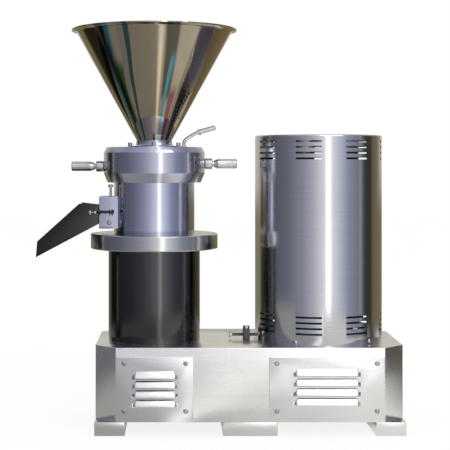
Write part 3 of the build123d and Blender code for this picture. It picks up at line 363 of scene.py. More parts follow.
@dataclass(frozen=True)
class MirrorSteel:
    """Spun and polished steel cone whose colour holds painted reflections: a warm painted tint and soft painted bands
    of reflected surroundings that run up the cone from its neck.
    """

    name: str
    colour: Point
    centre: Point
    span: tuple[float, float]
    painted_reflections: tuple[PaintedReflectionBand, ...]
    roughness: float = 0.05

    def build(self) -> bpy.types.Material:
        """Make the material.

        Returns:
            The finished material.
        """
        g = Graph(self.name)
        place = g.position(self.centre)
        x, y, z = g.parts(place)
        height = (z - self.span[0]) * (1 / (self.span[1] - self.span[0]))
        angle = g.azimuth(x, y) + (g.noise(g.join(x * 2.2, y * 2.2, z * 3.0), 1.6, 2.0) - 0.5) * 7.0
        warm = g.noise(g.join(x * 4.0, y * 4.0, z * 0.8), 1.3, 3.0, 0.6)
        # Base colour: a painted warm reflection of the surroundings, varied at random.
        colour = g.mix(warm.ramp(0.3, 0.7), [c * 0.82 for c in self.colour], [c * 1.18 for c in self.colour])
        # Paint each band of reflected surroundings into the colour: painted reflections.
        for painted_band in self.painted_reflections:
            axis = height.clamp() * (painted_band.rim - painted_band.neck) + painted_band.neck
            across = (angle - axis).bump_at(0.0, painted_band.half_width)
            along = height.ramp(painted_band.low, painted_band.low + 0.12) * height.ramp(painted_band.high - 0.12, painted_band.high, 1.0, 0.0)
            colour = g.mix(across.ramp(0.0, 0.55) * along * painted_band.share, colour, painted_band.reflection_colour)
        radius = (x * x + y * y) ** 0.5
        spin = g.noise(g.join(x * 6.0, y * 6.0, (radius + z) * 900.0), 1.0, 3.0, 0.6)
        rough = (self.roughness + (spin - 0.5) * 0.03 + warm.ramp(0.55, 0.9) * 0.03).clamp(0.01, 0.4)
        return g.finish({
            "Base Color": colour,
            "Metallic": 1.0,
            "Roughness": rough,
            "Normal": g.bump(spin, 0.10, 0.00006),
        })


@dataclass(frozen=True)
class MachinedSteel:
    """Turned or ground steel of inner parts, screws and pins."""

    name: str
    colour: Point
    roughness: float = 0.32
    metallic: float = 1.0

    def build(self) -> bpy.types.Material:
        """Make the material.

        Returns:
            The finished material.
        """
        g = Graph(self.name)
        place = g.position()
        grain = g.noise(place, 260.0, 4.0, 0.6)
        patch = g.noise(place, 34.0, 3.0, 0.55, 0.6)
        shade = 1.0 + (patch - 0.5) * 0.35 + (grain - 0.5) * 0.18
        colour = g.mix(1.0, self.colour, g.join(shade, shade, shade), "MULTIPLY")
        rough = (self.roughness + (patch - 0.5) * 0.2 + (grain - 0.5) * 0.1).clamp(0.05, 0.95)
        return g.finish({
            "Base Color": colour,
            "Metallic": self.metallic,
            "Roughness": rough,
            "Normal": g.bump(grain, 0.25, 0.00015),
        })


@dataclass(frozen=True)
class Coating:
    """Paint, rubber or moulded plastic with a fine skin texture."""

    name: str
    colour: Point
    roughness: float = 0.5
    pebble: float = 900.0
    depth: float = 0.3
    coat: float = 0.0

    def build(self) -> bpy.types.Material:
        """Make the material.

        Returns:
            The finished material.
        """
        g = Graph(self.name)
        place = g.position()
        skin = g.noise(place, self.pebble, 2.0, 0.5)
        dust = g.noise(place, 14.0, 4.0, 0.6)
        shade = 1.0 + (dust - 0.5) * 0.4 + (skin - 0.5) * 0.12
        colour = g.mix(1.0, self.colour, g.join(shade, shade, shade), "MULTIPLY")
        rough = (self.roughness + (dust - 0.5) * 0.25).clamp(0.08, 0.98)
        return g.finish({
            "Base Color": colour,
            "Roughness": rough,
            "Coat Weight": self.coat,
            "Normal": g.bump(skin, self.depth, 0.0002),
        })


class Finishes:
    """Every finish of the machine, by the record's slot name."""

    def __init__(self, grinder: Point, motor: Point, cone: tuple[float, float]) -> None:
        """Build the materials.

        Args:
            grinder: A point on the grinding head's axis.
            motor: A point on the motor's axis.
            cone: Height of the hopper's neck and rim, in metres.
        """
        # Steel grey with a bluish cast painted in: a painted reflection of blue-grey surroundings on the housing.
        grey_with_painted_blue = (0.54, 0.55, 0.66)
        finishes = [
            BrushedSteel("base_steel", (0.84, 0.835, 0.82), 0.26, cloud=0.16),
            BrushedSteel("panel_steel", (0.82, 0.82, 0.815), 0.24, cloud=0.14),
            # The column's near-black colour is a painted dark reflection of its surroundings on polished steel.
            BrushedSteel("column_steel", (0.085, 0.088, 0.084), 0.12, Axis.ROUND, grinder, cloud=0.25, anisotropy=0.3),
            BrushedSteel("disc_steel", (0.52, 0.52, 0.52), 0.14, Axis.ROUND, grinder),
            BrushedSteel("housing_steel", grey_with_painted_blue, 0.13, Axis.ROUND, grinder),
            # The ring's bluish cast, like the housing's, is a painted reflection of blue-grey surroundings on steel
            # grey.
            BrushedSteel("ring_steel", (0.53, 0.54, 0.63), 0.13, Axis.ROUND, grinder),
            BrushedSteel("cover_steel", (0.60, 0.60, 0.615), 0.13, Axis.ROUND, motor, cloud=0.06),
            # The chute's near-black colour is a painted dark reflection of its surroundings on polished steel.
            BrushedSteel("chute_steel", (0.045, 0.044, 0.042), 0.22, Axis.ALONG_X, anisotropy=0.2),
            MachinedSteel("handle_steel", (0.60, 0.59, 0.57), 0.18),
            MachinedSteel("grip_steel", (0.62, 0.61, 0.58), 0.26),
            MachinedSteel("fastener_steel", (0.46, 0.46, 0.46), 0.20),
            MachinedSteel("tool_steel", (0.46, 0.46, 0.46), 0.34),
            MachinedSteel("shaft_steel", (0.60, 0.60, 0.60), 0.22),
            MachinedSteel("dark_iron", (0.10, 0.10, 0.105), 0.52, 0.8),
            # The hopper's warm brown colour is a painted reflection of its surroundings on polished steel.
            MirrorSteel("hopper_mirror", (0.42, 0.36, 0.265), grinder, cone, self._hopper_painted_reflections()),
            Coating("motor_paint", (0.10, 0.17, 0.26), 0.42, 420.0, 0.5, 0.3),
            Coating("belt_rubber", (0.02, 0.02, 0.02), 0.75),
            Coating("fan_plastic", (0.03, 0.03, 0.03), 0.55),
            Coating("gland_plastic", (0.035, 0.035, 0.035), 0.5),
        ]
        self.materials = {finish.name: finish.build() for finish in finishes}

    @staticmethod
    def _hopper_painted_reflections() -> tuple[PaintedReflectionBand, ...]:
        """The hopper's painted reflection bands of the surroundings, all round."""
        return (
            PaintedReflectionBand(-41.0, -66.0, 6.0, (0.012, 0.012, 0.012), 0.2),
            PaintedReflectionBand(-35.0, -57.0, 3.6, (0.03, 0.22, 0.32), 0.1),
            PaintedReflectionBand(-27.0, -49.0, 7.5, (0.045, 0.13, 0.02), -0.3, 0.72),
            PaintedReflectionBand(-24.0, -34.0, 4.0, (0.30, 0.24, 0.24), 0.35),
            PaintedReflectionBand(-19.0, -29.0, 3.2, (0.012, 0.07, 0.085)),
            PaintedReflectionBand(6.0, 5.0, 3.0, (0.50, 0.41, 0.29), 0.1, 0.9, 0.6),
            PaintedReflectionBand(15.0, 17.0, 8.0, (0.07, 0.07, 0.055), 0.3),
            PaintedReflectionBand(20.0, 13.0, 3.0, (0.09, 0.30, 0.34), -0.3, 0.78),
            PaintedReflectionBand(26.0, 25.0, 6.5, (0.20, 0.075, 0.085), -0.3, 0.5),
            PaintedReflectionBand(38.0, 44.0, 9.0, (0.045, 0.045, 0.03), -0.3, 0.55),
            PaintedReflectionBand(42.0, 50.0, 10.0, (0.22, 0.20, 0.24), 0.42, 1.05),
            PaintedReflectionBand(98.0, 104.0, 15.0, (0.12, 0.12, 0.09)),
            PaintedReflectionBand(131.0, 138.0, 8.0, (0.05, 0.16, 0.20), -0.3, 0.8),
            PaintedReflectionBand(163.0, 160.0, 12.0, (0.16, 0.15, 0.12), 0.2),
            PaintedReflectionBand(-96.0, -103.0, 12.0, (0.17, 0.16, 0.18)),
            PaintedReflectionBand(-128.0, -140.0, 9.0, (0.05, 0.11, 0.04), -0.3, 0.85),
            PaintedReflectionBand(-160.0, -158.0, 7.0, (0.03, 0.04, 0.045)),
        )

    def __getitem__(self, slot: str) -> bpy.types.Material:
        """The material of a slot."""
        return self.materials[slot]

    def dress_frame(self) -> None:
        """Give every node that came with the frame the material of its slot."""
        for part in frame["record"]["subparts"]:
            node = frame["nodes"][part["node"]]
            node.data.materials.clear()
            node.data.materials.append(self[part["material_slot"]])


@dataclass
class Studio:
    """Floor, backdrop, lamps and camera."""

    base_centre: float
    camera_side: float = 0.1594
    camera_distance: float = 2.9254
    camera_height: float = 0.6124
    focal_pixels: float = 1234.4
    eye_column: float = 179.2
    eye_row: float = 162.9
    picture: float = 450.0
    sensor: float = 36.0
    surround_radius: float = 6.0
    grinder_x: float = -0.147
    floor_levels: tuple[float, float] = (0.40, 0.86)
    floor_reach: float = 1.45
    floor_glow: float = 0.86
    streak_angle: float = 14.0
    flag_angle: float = 98.0
    behind: Point = (0.62, 0.59, 0.52)
    wall_cards: tuple[tuple[float, Point], ...] = (
        (-180.0, (0.26, 0.23, 0.15)), (-138.0, (0.27, 0.26, 0.17)), (-132.0, (0.035, 0.033, 0.02)),
        (-109.0, (0.03, 0.03, 0.025)), (-105.5, (0.12, 0.12, 0.12)), (-103.5, (0.80, 0.80, 0.80)),
        (-101.0, (0.13, 0.13, 0.14)), (-90.0, (0.13, 0.14, 0.17)), (-60.0, (0.19, 0.20, 0.26)),
        (-30.0, (0.37, 0.38, 0.46)), (-12.0, (0.60, 0.61, 0.68)), (2.0, (0.95, 0.95, 1.0)),
        (24.0, (1.0, 1.0, 1.0)), (32.0, (0.76, 0.79, 0.91)), (50.0, (0.36, 0.40, 0.52)),
        (72.0, (0.25, 0.25, 0.30)), (75.0, (0.50, 0.50, 0.52)), (78.0, (0.20, 0.20, 0.22)),
        (85.0, (0.05, 0.05, 0.045)), (102.0, (0.045, 0.043, 0.03)), (107.0, (0.20, 0.17, 0.10)),
        (135.0, (0.24, 0.20, 0.12)), (180.0, (0.26, 0.23, 0.15)),
    )
    ceiling_cards: tuple[tuple[float, Point], ...] = (
        (-180.0, (0.80, 0.78, 0.74)), (-80.0, (0.36, 0.37, 0.46)), (-25.0, (0.62, 0.64, 0.84)),
        (-8.0, (1.0, 1.0, 1.0)), (24.0, (1.0, 1.0, 1.0)), (45.0, (0.60, 0.62, 0.82)),
        (95.0, (0.34, 0.33, 0.36)), (180.0, (0.80, 0.78, 0.74)),
    )

    def build(self) -> None:
        """Make the whole studio."""
        self._camera()
        self._floor()
        self._surround()
        self._world()
        self._lamps()

    def _camera(self) -> None:
        """Camera at the photograph's eye point, shifted as its framing needs."""
        lens = bpy.data.cameras.new("camera")
        lens.sensor_width = self.sensor
        lens.lens = self.focal_pixels / self.picture * self.sensor
        lens.shift_x = (self.picture / 2 - self.eye_column) / self.picture
        lens.shift_y = (self.eye_row - self.picture / 2) / self.picture
        camera = bpy.data.objects.new("camera", lens)
        bpy.context.scene.collection.objects.link(camera)
        camera.location = (self.base_centre - self.camera_side, -self.camera_distance, self.camera_height)
        camera.rotation_euler = (math.radians(90), 0, 0)
        bpy.context.scene.camera = camera

    def _floor(self) -> None:
        """Pale floor that shows white, keeps the machine's shadow and is softer in the metal."""
        floor = Meshes.from_data("floor", [(-12, -12, 0), (12, -12, 0), (12, 12, 0), (-12, 12, 0)], [(0, 1, 2, 3)])
        g = Graph("floor_white")
        rays = g.node("ShaderNodeLightPath").socket.node.outputs
        camera, glossy = Signal(g, rays["Is Camera Ray"]), Signal(g, rays["Is Glossy Ray"])
        x, y, z = g.parts(g.position())
        round_head = g.azimuth(x - self.grinder_x, y)
        level = x.ramp(-0.30, 0.50, *self.floor_levels)
        flags = 1.0 - round_head.absolute().bump_at(self.flag_angle, 22.0) * 0.93
        glow = level * flags + round_head.bump_at(self.streak_angle, 9.0) * 0.8
        distance = (x * x + y * y) ** 0.5
        card = g.node("ShaderNodeEmission", {}, {"Color": g.join(glow, glow * 0.985, glow * 0.96), "Strength": 1.0})
        clear = g.node("ShaderNodeBsdfTransparent")
        metal = g.node("ShaderNodeMixShader", {}, {0: distance.ramp(self.floor_reach, self.floor_reach + 0.25),
                                                   1: card, 2: clear})
        diffuse = g.node("ShaderNodeBsdfDiffuse", {}, {"Color": (0.96, 0.96, 0.96, 1.0)})
        white = g.node("ShaderNodeEmission", {}, {"Color": (1.0, 1.0, 1.0, 1.0), "Strength": 1.0})
        shown = g.node("ShaderNodeMixShader", {}, {0: camera * self.floor_glow, 1: diffuse, 2: white})
        shader = g.node("ShaderNodeMixShader", {}, {0: glossy, 1: shown, 2: metal})
        g.node("ShaderNodeOutputMaterial", {}, {"Surface": shader}, None)
        floor.data.materials.append(g.material)

    def _surround(self) -> None:
        """Round studio wall and ceiling of soft cards, seen only in the metal."""
        steps, rows = 96, 20
        verts = []
        for row in range(rows + 1):
            rise = math.radians(-30 + 119.5 * row / rows)
            for i in range(steps):
                turn = 2 * math.pi * i / steps
                verts.append((self.surround_radius * math.cos(rise) * math.cos(turn),
                              self.surround_radius * math.cos(rise) * math.sin(turn),
                              self.surround_radius * math.sin(rise)))
        faces = [(r * steps + i, r * steps + (i + 1) % steps, (r + 1) * steps + (i + 1) % steps, (r + 1) * steps + i)
                 for r in range(rows) for i in range(steps)]
        wall = Meshes.from_data("studio_wall", verts, faces)
        g = Graph("studio_cards")
        x, y, z = g.parts(g.position())
        azimuth = g.azimuth(x, y)
        rise = z / (x * x + y * y) ** 0.5
        low = self._ring_of_cards(g, azimuth, self.wall_cards)
        high = self._ring_of_cards(g, azimuth, self.ceiling_cards)
        behind = azimuth.absolute().ramp(118.0, 150.0) * rise.ramp(0.035, 0.10)
        colour = g.mix(behind, low, self.behind)
        colour = g.mix(rise.ramp(0.30, 0.85), colour, high)
        strength = 1.0 + azimuth.bump_at(self.streak_angle, 7.0) * 1.6
        glow = g.node("ShaderNodeEmission", {}, {"Color": colour, "Strength": strength})
        g.node("ShaderNodeOutputMaterial", {}, {"Surface": glow}, None)
        wall.data.materials.append(g.material)
        wall.visible_camera = False
        wall.visible_diffuse = False
        wall.visible_shadow = False
        wall.visible_transmission = False

    @staticmethod
    def _ring_of_cards(g: Graph, azimuth: Signal, cards: Sequence[tuple[float, Point]]) -> Signal:
        """Colour of the cards round the machine.

        Args:
            g: The tree.
            azimuth: Angle from the front.
            cards: Angle and colour of each card.

        Returns:
            The colour.
        """
        stops = [(angle / 360 + 0.5, colour) for angle, colour in cards]
        return g.node("ShaderNodeValToRGB", {"stops": stops}, {0: azimuth * (1 / 360) + 0.5})

    @staticmethod
    def _world() -> None:
        """White world at a plain level."""
        world = bpy.data.worlds.new("studio_world")
        world.use_nodes = True
        background = world.node_tree.nodes["Background"]
        background.inputs["Color"].default_value = (1.0, 1.0, 1.0, 1.0)
        background.inputs["Strength"].default_value = 1.0
        bpy.context.scene.world = world

    def _lamps(self) -> None:
        """One large soft lamp above the front."""
        lamp = bpy.data.lights.new("key_lamp", "AREA")
        lamp.shape = "RECTANGLE"
        lamp.size = 1.6
        lamp.size_y = 1.6
        lamp.energy = 18.0
        key = bpy.data.objects.new("key_lamp", lamp)
        bpy.context.scene.collection.objects.link(key)
        key.location = (self.base_centre + 0.9, -1.9, 2.3)
        aim = Vector((self.base_centre, 0.0, 0.45)) - key.location
        key.rotation_euler = aim.to_track_quat("-Z", "Y").to_euler()


Corner = Sequence[float]


class Meshes:
    """Ways of making finished meshes, sizes in millimetres."""

    @staticmethod
    def from_data(name: str, verts: Iterable, faces: Iterable, scale: float = 1.0) -> bpy.types.Object:
        """Link a mesh made from plain data.

        Args:
            name: The object's name.
            verts: Corner places.
            faces: Corner indices of each face.
            scale: Metres to one unit of the places.

        Returns:
            The new object.
        """
        mesh = bpy.data.meshes.new(name)
        mesh.from_pydata([[v * scale for v in vert] for vert in verts], [], list(faces))
        mesh.update()
        piece = bpy.data.objects.new(name, mesh)
        bpy.context.scene.collection.objects.link(piece)
        return piece

    @staticmethod
    def rounded(corners: Sequence[Corner], steps: int = 5) -> list[tuple[float, float]]:
        """Closed outline with an arc in place of each corner that has a radius.

        Args:
            corners: Two coordinates and, where the corner is rounded, its radius.
            steps: Segments of each arc.

        Returns:
            The outline's points.
        """
        points = []
        for i, corner in enumerate(corners):
            here = Vector(corner[:2])
            if len(corner) < 3:
                points.append(tuple(here))
                continue
            before, after = Vector(corners[i - 1][:2]) - here, Vector(corners[(i + 1) % len(corners)][:2]) - here
            half = before.angle(after) / 2
            reach = min(corner[2] / math.tan(half), before.length * 0.49, after.length * 0.49)
            start, end = here + before.normalized() * reach, here + after.normalized() * reach
            for k in range(steps + 1):
                t = k / steps
                points.append(tuple(start * (1 - t) ** 2 + here * (2 * t * (1 - t)) + end * t ** 2))
        return points

    @classmethod
    def lathe(cls, name: str, corners: Sequence[Corner], place: Point, segments: int = 192,
              along: str = "Z") -> bpy.types.Object:
        """Turn an outline of radius and height about an axis.

        Args:
            name: The object's name.
            corners: The closed outline, for rounded().
            place: A point on the axis.
            segments: Steps round the axis.
            along: The axis, X, Y or Z.

        Returns:
            The turned piece.
        """
        outline = cls.rounded(corners)
        verts, rings = [], []
        for radius, level in outline:
            if radius < 1e-6:
                rings.append([len(verts)] * segments)
                verts.append((0.0, 0.0, level))
                continue
            rings.append(list(range(len(verts), len(verts) + segments)))
            for k in range(segments):
                turn = 2 * math.pi * k / segments
                verts.append((radius * math.cos(turn), radius * math.sin(turn), level))
        faces = []
        for first, second in zip(rings, rings[1:] + rings[:1]):
            for k in range(segments):
                m = (k + 1) % segments
                face = list(dict.fromkeys((first[k], first[m], second[m], second[k])))
                if len(face) > 2:
                    faces.append(face)
        if along != "Z":
            verts = [(z, x, y) if along == "X" else (y, z, x) for x, y, z in verts]
        verts = [(x + place[0], y + place[1], z + place[2]) for x, y, z in verts]
        return cls.smooth(cls.from_data(name, verts, faces, MM))

    @classmethod
    def prism(cls, name: str, outline: Sequence[Corner], low: float, high: float, flat: str = "XY",
              edge: float = 0.0) -> bpy.types.Object:
        """Draw a closed outline out to a solid.

        Args:
            name: The object's name.
            outline: The closed outline, for rounded().
            low: Where the solid starts.
            high: Where it ends.
            flat: The plane of the outline, XY, XZ or YZ.
            edge: Radius of the bevel on its sharp edges.

        Returns:
            The solid.
        """
        points = cls.rounded(outline)
        order = {"XY": (0, 1, 2), "XZ": (0, 2, 1), "YZ": (2, 0, 1)}[flat]
        count = len(points)
        verts = []
        for level in (low, high):
            for a, b in points:
                spot = (a, b, level)
                verts.append(tuple(spot[i] for i in order))
        faces = [tuple(range(count))[::-1], tuple(range(count, 2 * count))]
        faces += [(i, (i + 1) % count, count + (i + 1) % count, count + i) for i in range(count)]
        return cls.smooth(cls.from_data(name, verts, faces, MM), edge)

    @classmethod
    def box(cls, name: str, low: Sequence[float], high: Sequence[float], edge: float = 0.0) -> bpy.types.Object:
        """Box between two corners with bevelled edges."""
        outline = [(low[0], low[1]), (high[0], low[1]), (high[0], high[1]), (low[0], high[1])]
        return cls.prism(name, outline, low[2], high[2], "XY", edge)

    @classmethod
    def tube(cls, name: str, path: Sequence[Point], radii: Sequence[float], segments: int = 32) -> bpy.types.Object:
        """Round bar along a path, with a radius at each point and closed ends.

        Args:
            name: The object's name.
            path: Centre points.
            radii: Radius at each point.
            segments: Steps round the bar.

        Returns:
            The bar.
        """
        points = [Vector(p) for p in path]
        verts, faces = [], []
        side = Vector((0.0, 1.0, 0.0))
        for i, point in enumerate(points):
            ahead = (points[min(i + 1, len(points) - 1)] - points[max(i - 1, 0)]).normalized()
            across = ahead.cross(side).normalized()
            up = across.cross(ahead).normalized()
            for k in range(segments):
                turn = 2 * math.pi * k / segments
                verts.append(point + (across * math.cos(turn) + up * math.sin(turn)) * radii[i])
        for i in range(len(points) - 1):
            for k in range(segments):
                m = (k + 1) % segments
                low, high = i * segments, (i + 1) * segments
                faces.append((low + k, low + m, high + m, high + k))
        faces += [tuple(range(segments))[::-1], tuple(range(len(verts) - segments, len(verts)))]
        return cls.smooth(cls.from_data(name, verts, faces, MM))

    @staticmethod
    def smooth(piece: bpy.types.Object, edge: float = 0.0, sharp: float = 32.0) -> bpy.types.Object:
        """Turn faces outward, bevel sharp edges and shade smooth.

        Args:
            piece: The object.
            edge: Bevel width in millimetres, or 0 for none.
            sharp: Angle in degrees that stays a sharp edge.

        Returns:
            The same object.
        """
        mesh = bmesh.new()
        mesh.from_mesh(piece.data)
        bmesh.ops.remove_doubles(mesh, verts=mesh.verts, dist=1e-7)
        bmesh.ops.recalc_face_normals(mesh, faces=mesh.faces)
        if edge:
            edges = [e for e in mesh.edges if len(e.link_faces) == 2 and e.calc_face_angle(0.0) > math.radians(sharp)]
            bmesh.ops.bevel(mesh, geom=edges, offset=edge * MM, segments=3, profile=0.5, affect="EDGES",
                            clamp_overlap=True)
        mesh.to_mesh(piece.data)
        mesh.free()
        for face in piece.data.polygons:
            face.use_smooth = True
        piece.data.set_sharp_from_angle(angle=math.radians(sharp))
        return piece

    @classmethod
    def merge(cls, name: str, pieces: Sequence[bpy.types.Object]) -> bpy.types.Object:
        """Join pieces into one object, each left as it is."""
        whole = bmesh.new()
        for piece in pieces:
            whole.from_mesh(piece.data)
        mesh = bpy.data.meshes.new(name)
        whole.to_mesh(mesh)
        whole.free()
        for piece in pieces:
            bpy.data.objects.remove(piece)
        joined = bpy.data.objects.new(name, mesh)
        bpy.context.scene.collection.objects.link(joined)
        mesh.set_sharp_from_angle(angle=math.radians(32.0))
        return joined

    @classmethod
    def carve(cls, piece: bpy.types.Object, tools: Sequence[bpy.types.Object], union: bool = False,
              edge: float = 0.0) -> bpy.types.Object:
        """Cut tools out of a piece, or weld them to it.

        Args:
            piece: The piece, which is changed.
            tools: The tools, which are used up.
            union: Whether they are welded on.
            edge: Bevel put on the result's sharp edges, in millimetres.

        Returns:
            The same piece.
        """
        for tool in tools:
            change = piece.modifiers.new("cut", "BOOLEAN")
            change.operation = "UNION" if union else "DIFFERENCE"
            change.solver = "EXACT"
            change.object = tool
        cls.apply(piece)
        for tool in tools:
            bpy.data.objects.remove(tool)
        return cls.smooth(piece, edge)

    @staticmethod
    def apply(piece: bpy.types.Object) -> None:
        """Turn a piece's modifiers into plain mesh."""
        depsgraph = bpy.context.evaluated_depsgraph_get()
        mesh = bpy.data.meshes.new_from_object(piece.evaluated_get(depsgraph), depsgraph=depsgraph)
        piece.modifiers.clear()
        old, piece.data = piece.data, mesh
        mesh.name = piece.name
        bpy.data.meshes.remove(old)


class Pattern(Tree):
    """Geometry tree that repeats a piece and ends as one plain mesh."""

    def __init__(self, name: str) -> None:
        """Start the tree with an empty group.

        Args:
            name: The tree's name.
        """
        group = bpy.data.node_groups.new(name, "GeometryNodeTree")
        super().__init__(group)
        group.interface.new_socket(name="Geometry", in_out="INPUT", socket_type="NodeSocketGeometry")
        group.interface.new_socket(name="Geometry", in_out="OUTPUT", socket_type="NodeSocketGeometry")
        self.values: dict[str, object] = {}
        self.entry = None

    def inputs(self, **sizes: object) -> dict[str, Signal]:
        """Args:
            sizes: Value of each input.

        Returns:
            The input signals by name, with the incoming mesh as Geometry.
        """
        kinds = {int: "NodeSocketInt", float: "NodeSocketFloat", bpy.types.Object: "NodeSocketObject",
                 bpy.types.Material: "NodeSocketMaterial", tuple: "NodeSocketVector"}
        for name, value in sizes.items():
            socket = self.tree.interface.new_socket(name=name, in_out="INPUT", socket_type=kinds[type(value)])
            self.values[socket.identifier] = value
        entry = self.tree.nodes.new("NodeGroupInput")
        return {name: Signal(self, entry.outputs[name]) for name in ("Geometry", *sizes)}

    def run(self, name: str, result: Signal, material: Signal, seed: Optional[bpy.types.Object] = None,
            sharp: float = 32.0) -> bpy.types.Object:
        """Close the tree, run it on an object and keep the plain mesh.

        Args:
            name: The finished object's name.
            result: Geometry that the tree makes.
            material: Material input.
            seed: Object whose mesh the tree works on, or None for an empty one.
            sharp: Angle in degrees that stays a sharp edge.

        Returns:
            The finished object.
        """
        real = self.node("GeometryNodeRealizeInstances", {}, {"Geometry": result})
        dressed = self.node("GeometryNodeSetMaterial", {}, {"Geometry": real, "Material": material})
        self.node("NodeGroupOutput", {}, {"Geometry": dressed}, None)
        piece = seed or Meshes.from_data(name, [], [])
        piece.name = name
        change = piece.modifiers.new("pattern", "NODES")
        change.node_group = self.tree
        for identifier, value in self.values.items():
            change[identifier] = value
        Meshes.apply(piece)
        return Meshes.smooth(piece, sharp=sharp)

    def round_rows(self, given: dict[str, Signal]) -> Signal:
        """Copies of the input Piece round the upright axis at Centre, in Rows at a Pitch.

        Args:
            given: Inputs Piece, Centre, Count, First, Rows and Pitch.

        Returns:
            The copies.
        """
        piece = self.node("GeometryNodeObjectInfo", {}, {"Object": given["Piece"]}, "Geometry")
        circle = self.node("GeometryNodeMeshCircle", {"fill_type": "NONE"},
                           {"Vertices": given["Count"], "Radius": 0.001})
        index = self.node("GeometryNodeInputIndex")
        turn = index * (2 * math.pi) / given["Count"] + given["First"]
        turned = self.node("ShaderNodeCombineXYZ", {}, {"Z": turn})
        flat = self.node("GeometryNodeSetPosition", {}, {"Geometry": circle, "Position": (0.0, 0.0, 0.0)})
        ring = self.node("GeometryNodeInstanceOnPoints", {}, {"Points": flat, "Instance": piece, "Rotation": turned})
        step = self.node("ShaderNodeCombineXYZ", {}, {"Z": given["Pitch"]})
        line = self.node("GeometryNodeMeshLine", {}, {"Count": given["Rows"], "Start Location": given["Centre"],
                                                      "Offset": step})
        return self.node("GeometryNodeInstanceOnPoints", {}, {"Points": line, "Instance": ring})

    @classmethod
    def around(cls, name: str, piece: bpy.types.Object, material: bpy.types.Material, centre: Point, count: int,
               first: float = 0.0, rows: int = 1, pitch: float = 0.0,
               cut_from: Optional[bpy.types.Object] = None) -> bpy.types.Object:
        """Repeat a piece round an upright axis, or cut it from another so.

        Args:
            name: The finished object's name.
            piece: The piece, modelled about the origin; it is used up.
            material: The result's material.
            centre: Foot of the axis, in millimetres.
            count: Copies round the axis.
            first: Angle of the first copy, in degrees.
            rows: Rows above one another.
            pitch: Height between rows, in millimetres.
            cut_from: Object that the copies are cut from.

        Returns:
            The finished object.
        """
        tree = cls(name)
        given = tree.inputs(Piece=piece, Material=material, Centre=tuple(c * MM for c in centre), Count=count,
                            First=math.radians(first), Rows=rows, Pitch=pitch * MM)
        copies = tree.round_rows(given)
        if cut_from:
            tools = tree.node("GeometryNodeRealizeInstances", {}, {"Geometry": copies})
            cut = tree.node("GeometryNodeMeshBoolean", {"operation": "DIFFERENCE"}, {"Mesh 1": given["Geometry"]})
            tree.tree.links.new(tools.socket, cut.socket.node.inputs["Mesh 2"])
            copies = cut
        made = tree.run(name, copies, given["Material"], cut_from)
        bpy.data.objects.remove(piece)
        return made

    @classmethod
    def spread(cls, name: str, piece: bpy.types.Object, material: bpy.types.Material, places: Sequence[Point],
               tilt: Point = (0.0, 0.0, 0.0)) -> bpy.types.Object:
        """Set a piece at each of some places.

        Args:
            name: The finished object's name.
            piece: The piece, modelled about the origin; it is used up.
            material: The result's material.
            places: The places in millimetres.
            tilt: Turn of every copy, in degrees.

        Returns:
            The finished object.
        """
        tree = cls(name)
        seed = Meshes.from_data(name, places, [], MM)
        given = tree.inputs(Piece=piece, Material=material, Tilt=tuple(math.radians(t) for t in tilt))
        source = tree.node("GeometryNodeObjectInfo", {}, {"Object": given["Piece"]}, "Geometry")
        points = tree.node("GeometryNodeMeshToPoints", {}, {"Mesh": given["Geometry"]})
        copies = tree.node("GeometryNodeInstanceOnPoints", {}, {"Points": points, "Instance": source,
                                                                "Rotation": given["Tilt"]})
        made = tree.run(name, copies, given["Material"], seed)
        bpy.data.objects.remove(piece)
        return made


class Screws:
    """Heads of the machine's screws, standing on the origin and facing +Z."""

    @staticmethod
    def button(radius: float, rise: float, socket: float) -> bpy.types.Object:
        """Domed head with a hexagonal socket.

        Args:
            radius: Radius of the head.
            rise: Height of the head.
            socket: Radius of the socket's corners.

        Returns:
            The head.
        """
        head = Meshes.lathe("head", [(0, -0.5), (radius * 0.9, -0.5), (radius, 0.0, 0.3), (radius, rise * 0.35, 0.5),
                                     (radius * 0.62, rise * 0.93, 1.2), (0, rise)], (0, 0, 0), 48)
        return Meshes.carve(head, [Screws.hexagon(socket, rise * 0.35, rise + 1)])

    @staticmethod
    def cap(radius: float, rise: float, socket: float) -> bpy.types.Object:
        """Straight head with a hexagonal socket and a rounded rim."""
        head = Meshes.lathe("head", [(0, 0), (radius, 0, 0.2), (radius, rise, 0.9), (0, rise)], (0, 0, 0), 48)
        return Meshes.carve(head, [Screws.hexagon(socket, rise * 0.5, rise + 1)])

    @staticmethod
    def hexagon(corner: float, low: float, high: float, edge: float = 0.0) -> bpy.types.Object:
        """Hexagonal bar."""
        outline = [(corner * math.cos(math.radians(60 * k)), corner * math.sin(math.radians(60 * k))) for k in range(6)]
        return Meshes.prism("hexagon", outline, low, high, "XY", edge)


@dataclass
class Assembly:
    """What every sub-assembly needs to hand over its pieces."""

    finishes: Finishes

    def hand_over(self, piece: bpy.types.Object, body: str, slot: str, *nodes: str) -> bpy.types.Object:
        """Dress a piece, set it on its body and hide the frame's nodes that it replaces.

        Args:
            piece: The finished piece.
            body: The body it rides on.
            slot: The record's slot.
            nodes: The frame's nodes that it replaces.

        Returns:
            The same piece.
        """
        piece.data.materials.clear()
        piece.data.materials.append(self.finishes[slot])
        for face in piece.data.polygons:
            face.material_index = 0
        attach(piece, body)
        if nodes:
            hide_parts(*nodes)
        LOG.info("%s: %d faces on %s", piece.name, len(piece.data.polygons), body)
        return piece


def extent(node: str) -> tuple[Vector, Vector]:
    """Lowest and highest corner of a frame node, in millimetres."""
    low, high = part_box(node)
    return Vector(low) / MM, Vector(high) / MM


def middle(node: str) -> tuple[float, float]:
    """Middle of a frame node in X and Y, in millimetres."""
    low, high = extent(node)
    return (low.x + high.x) / 2, (low.y + high.y) / 2


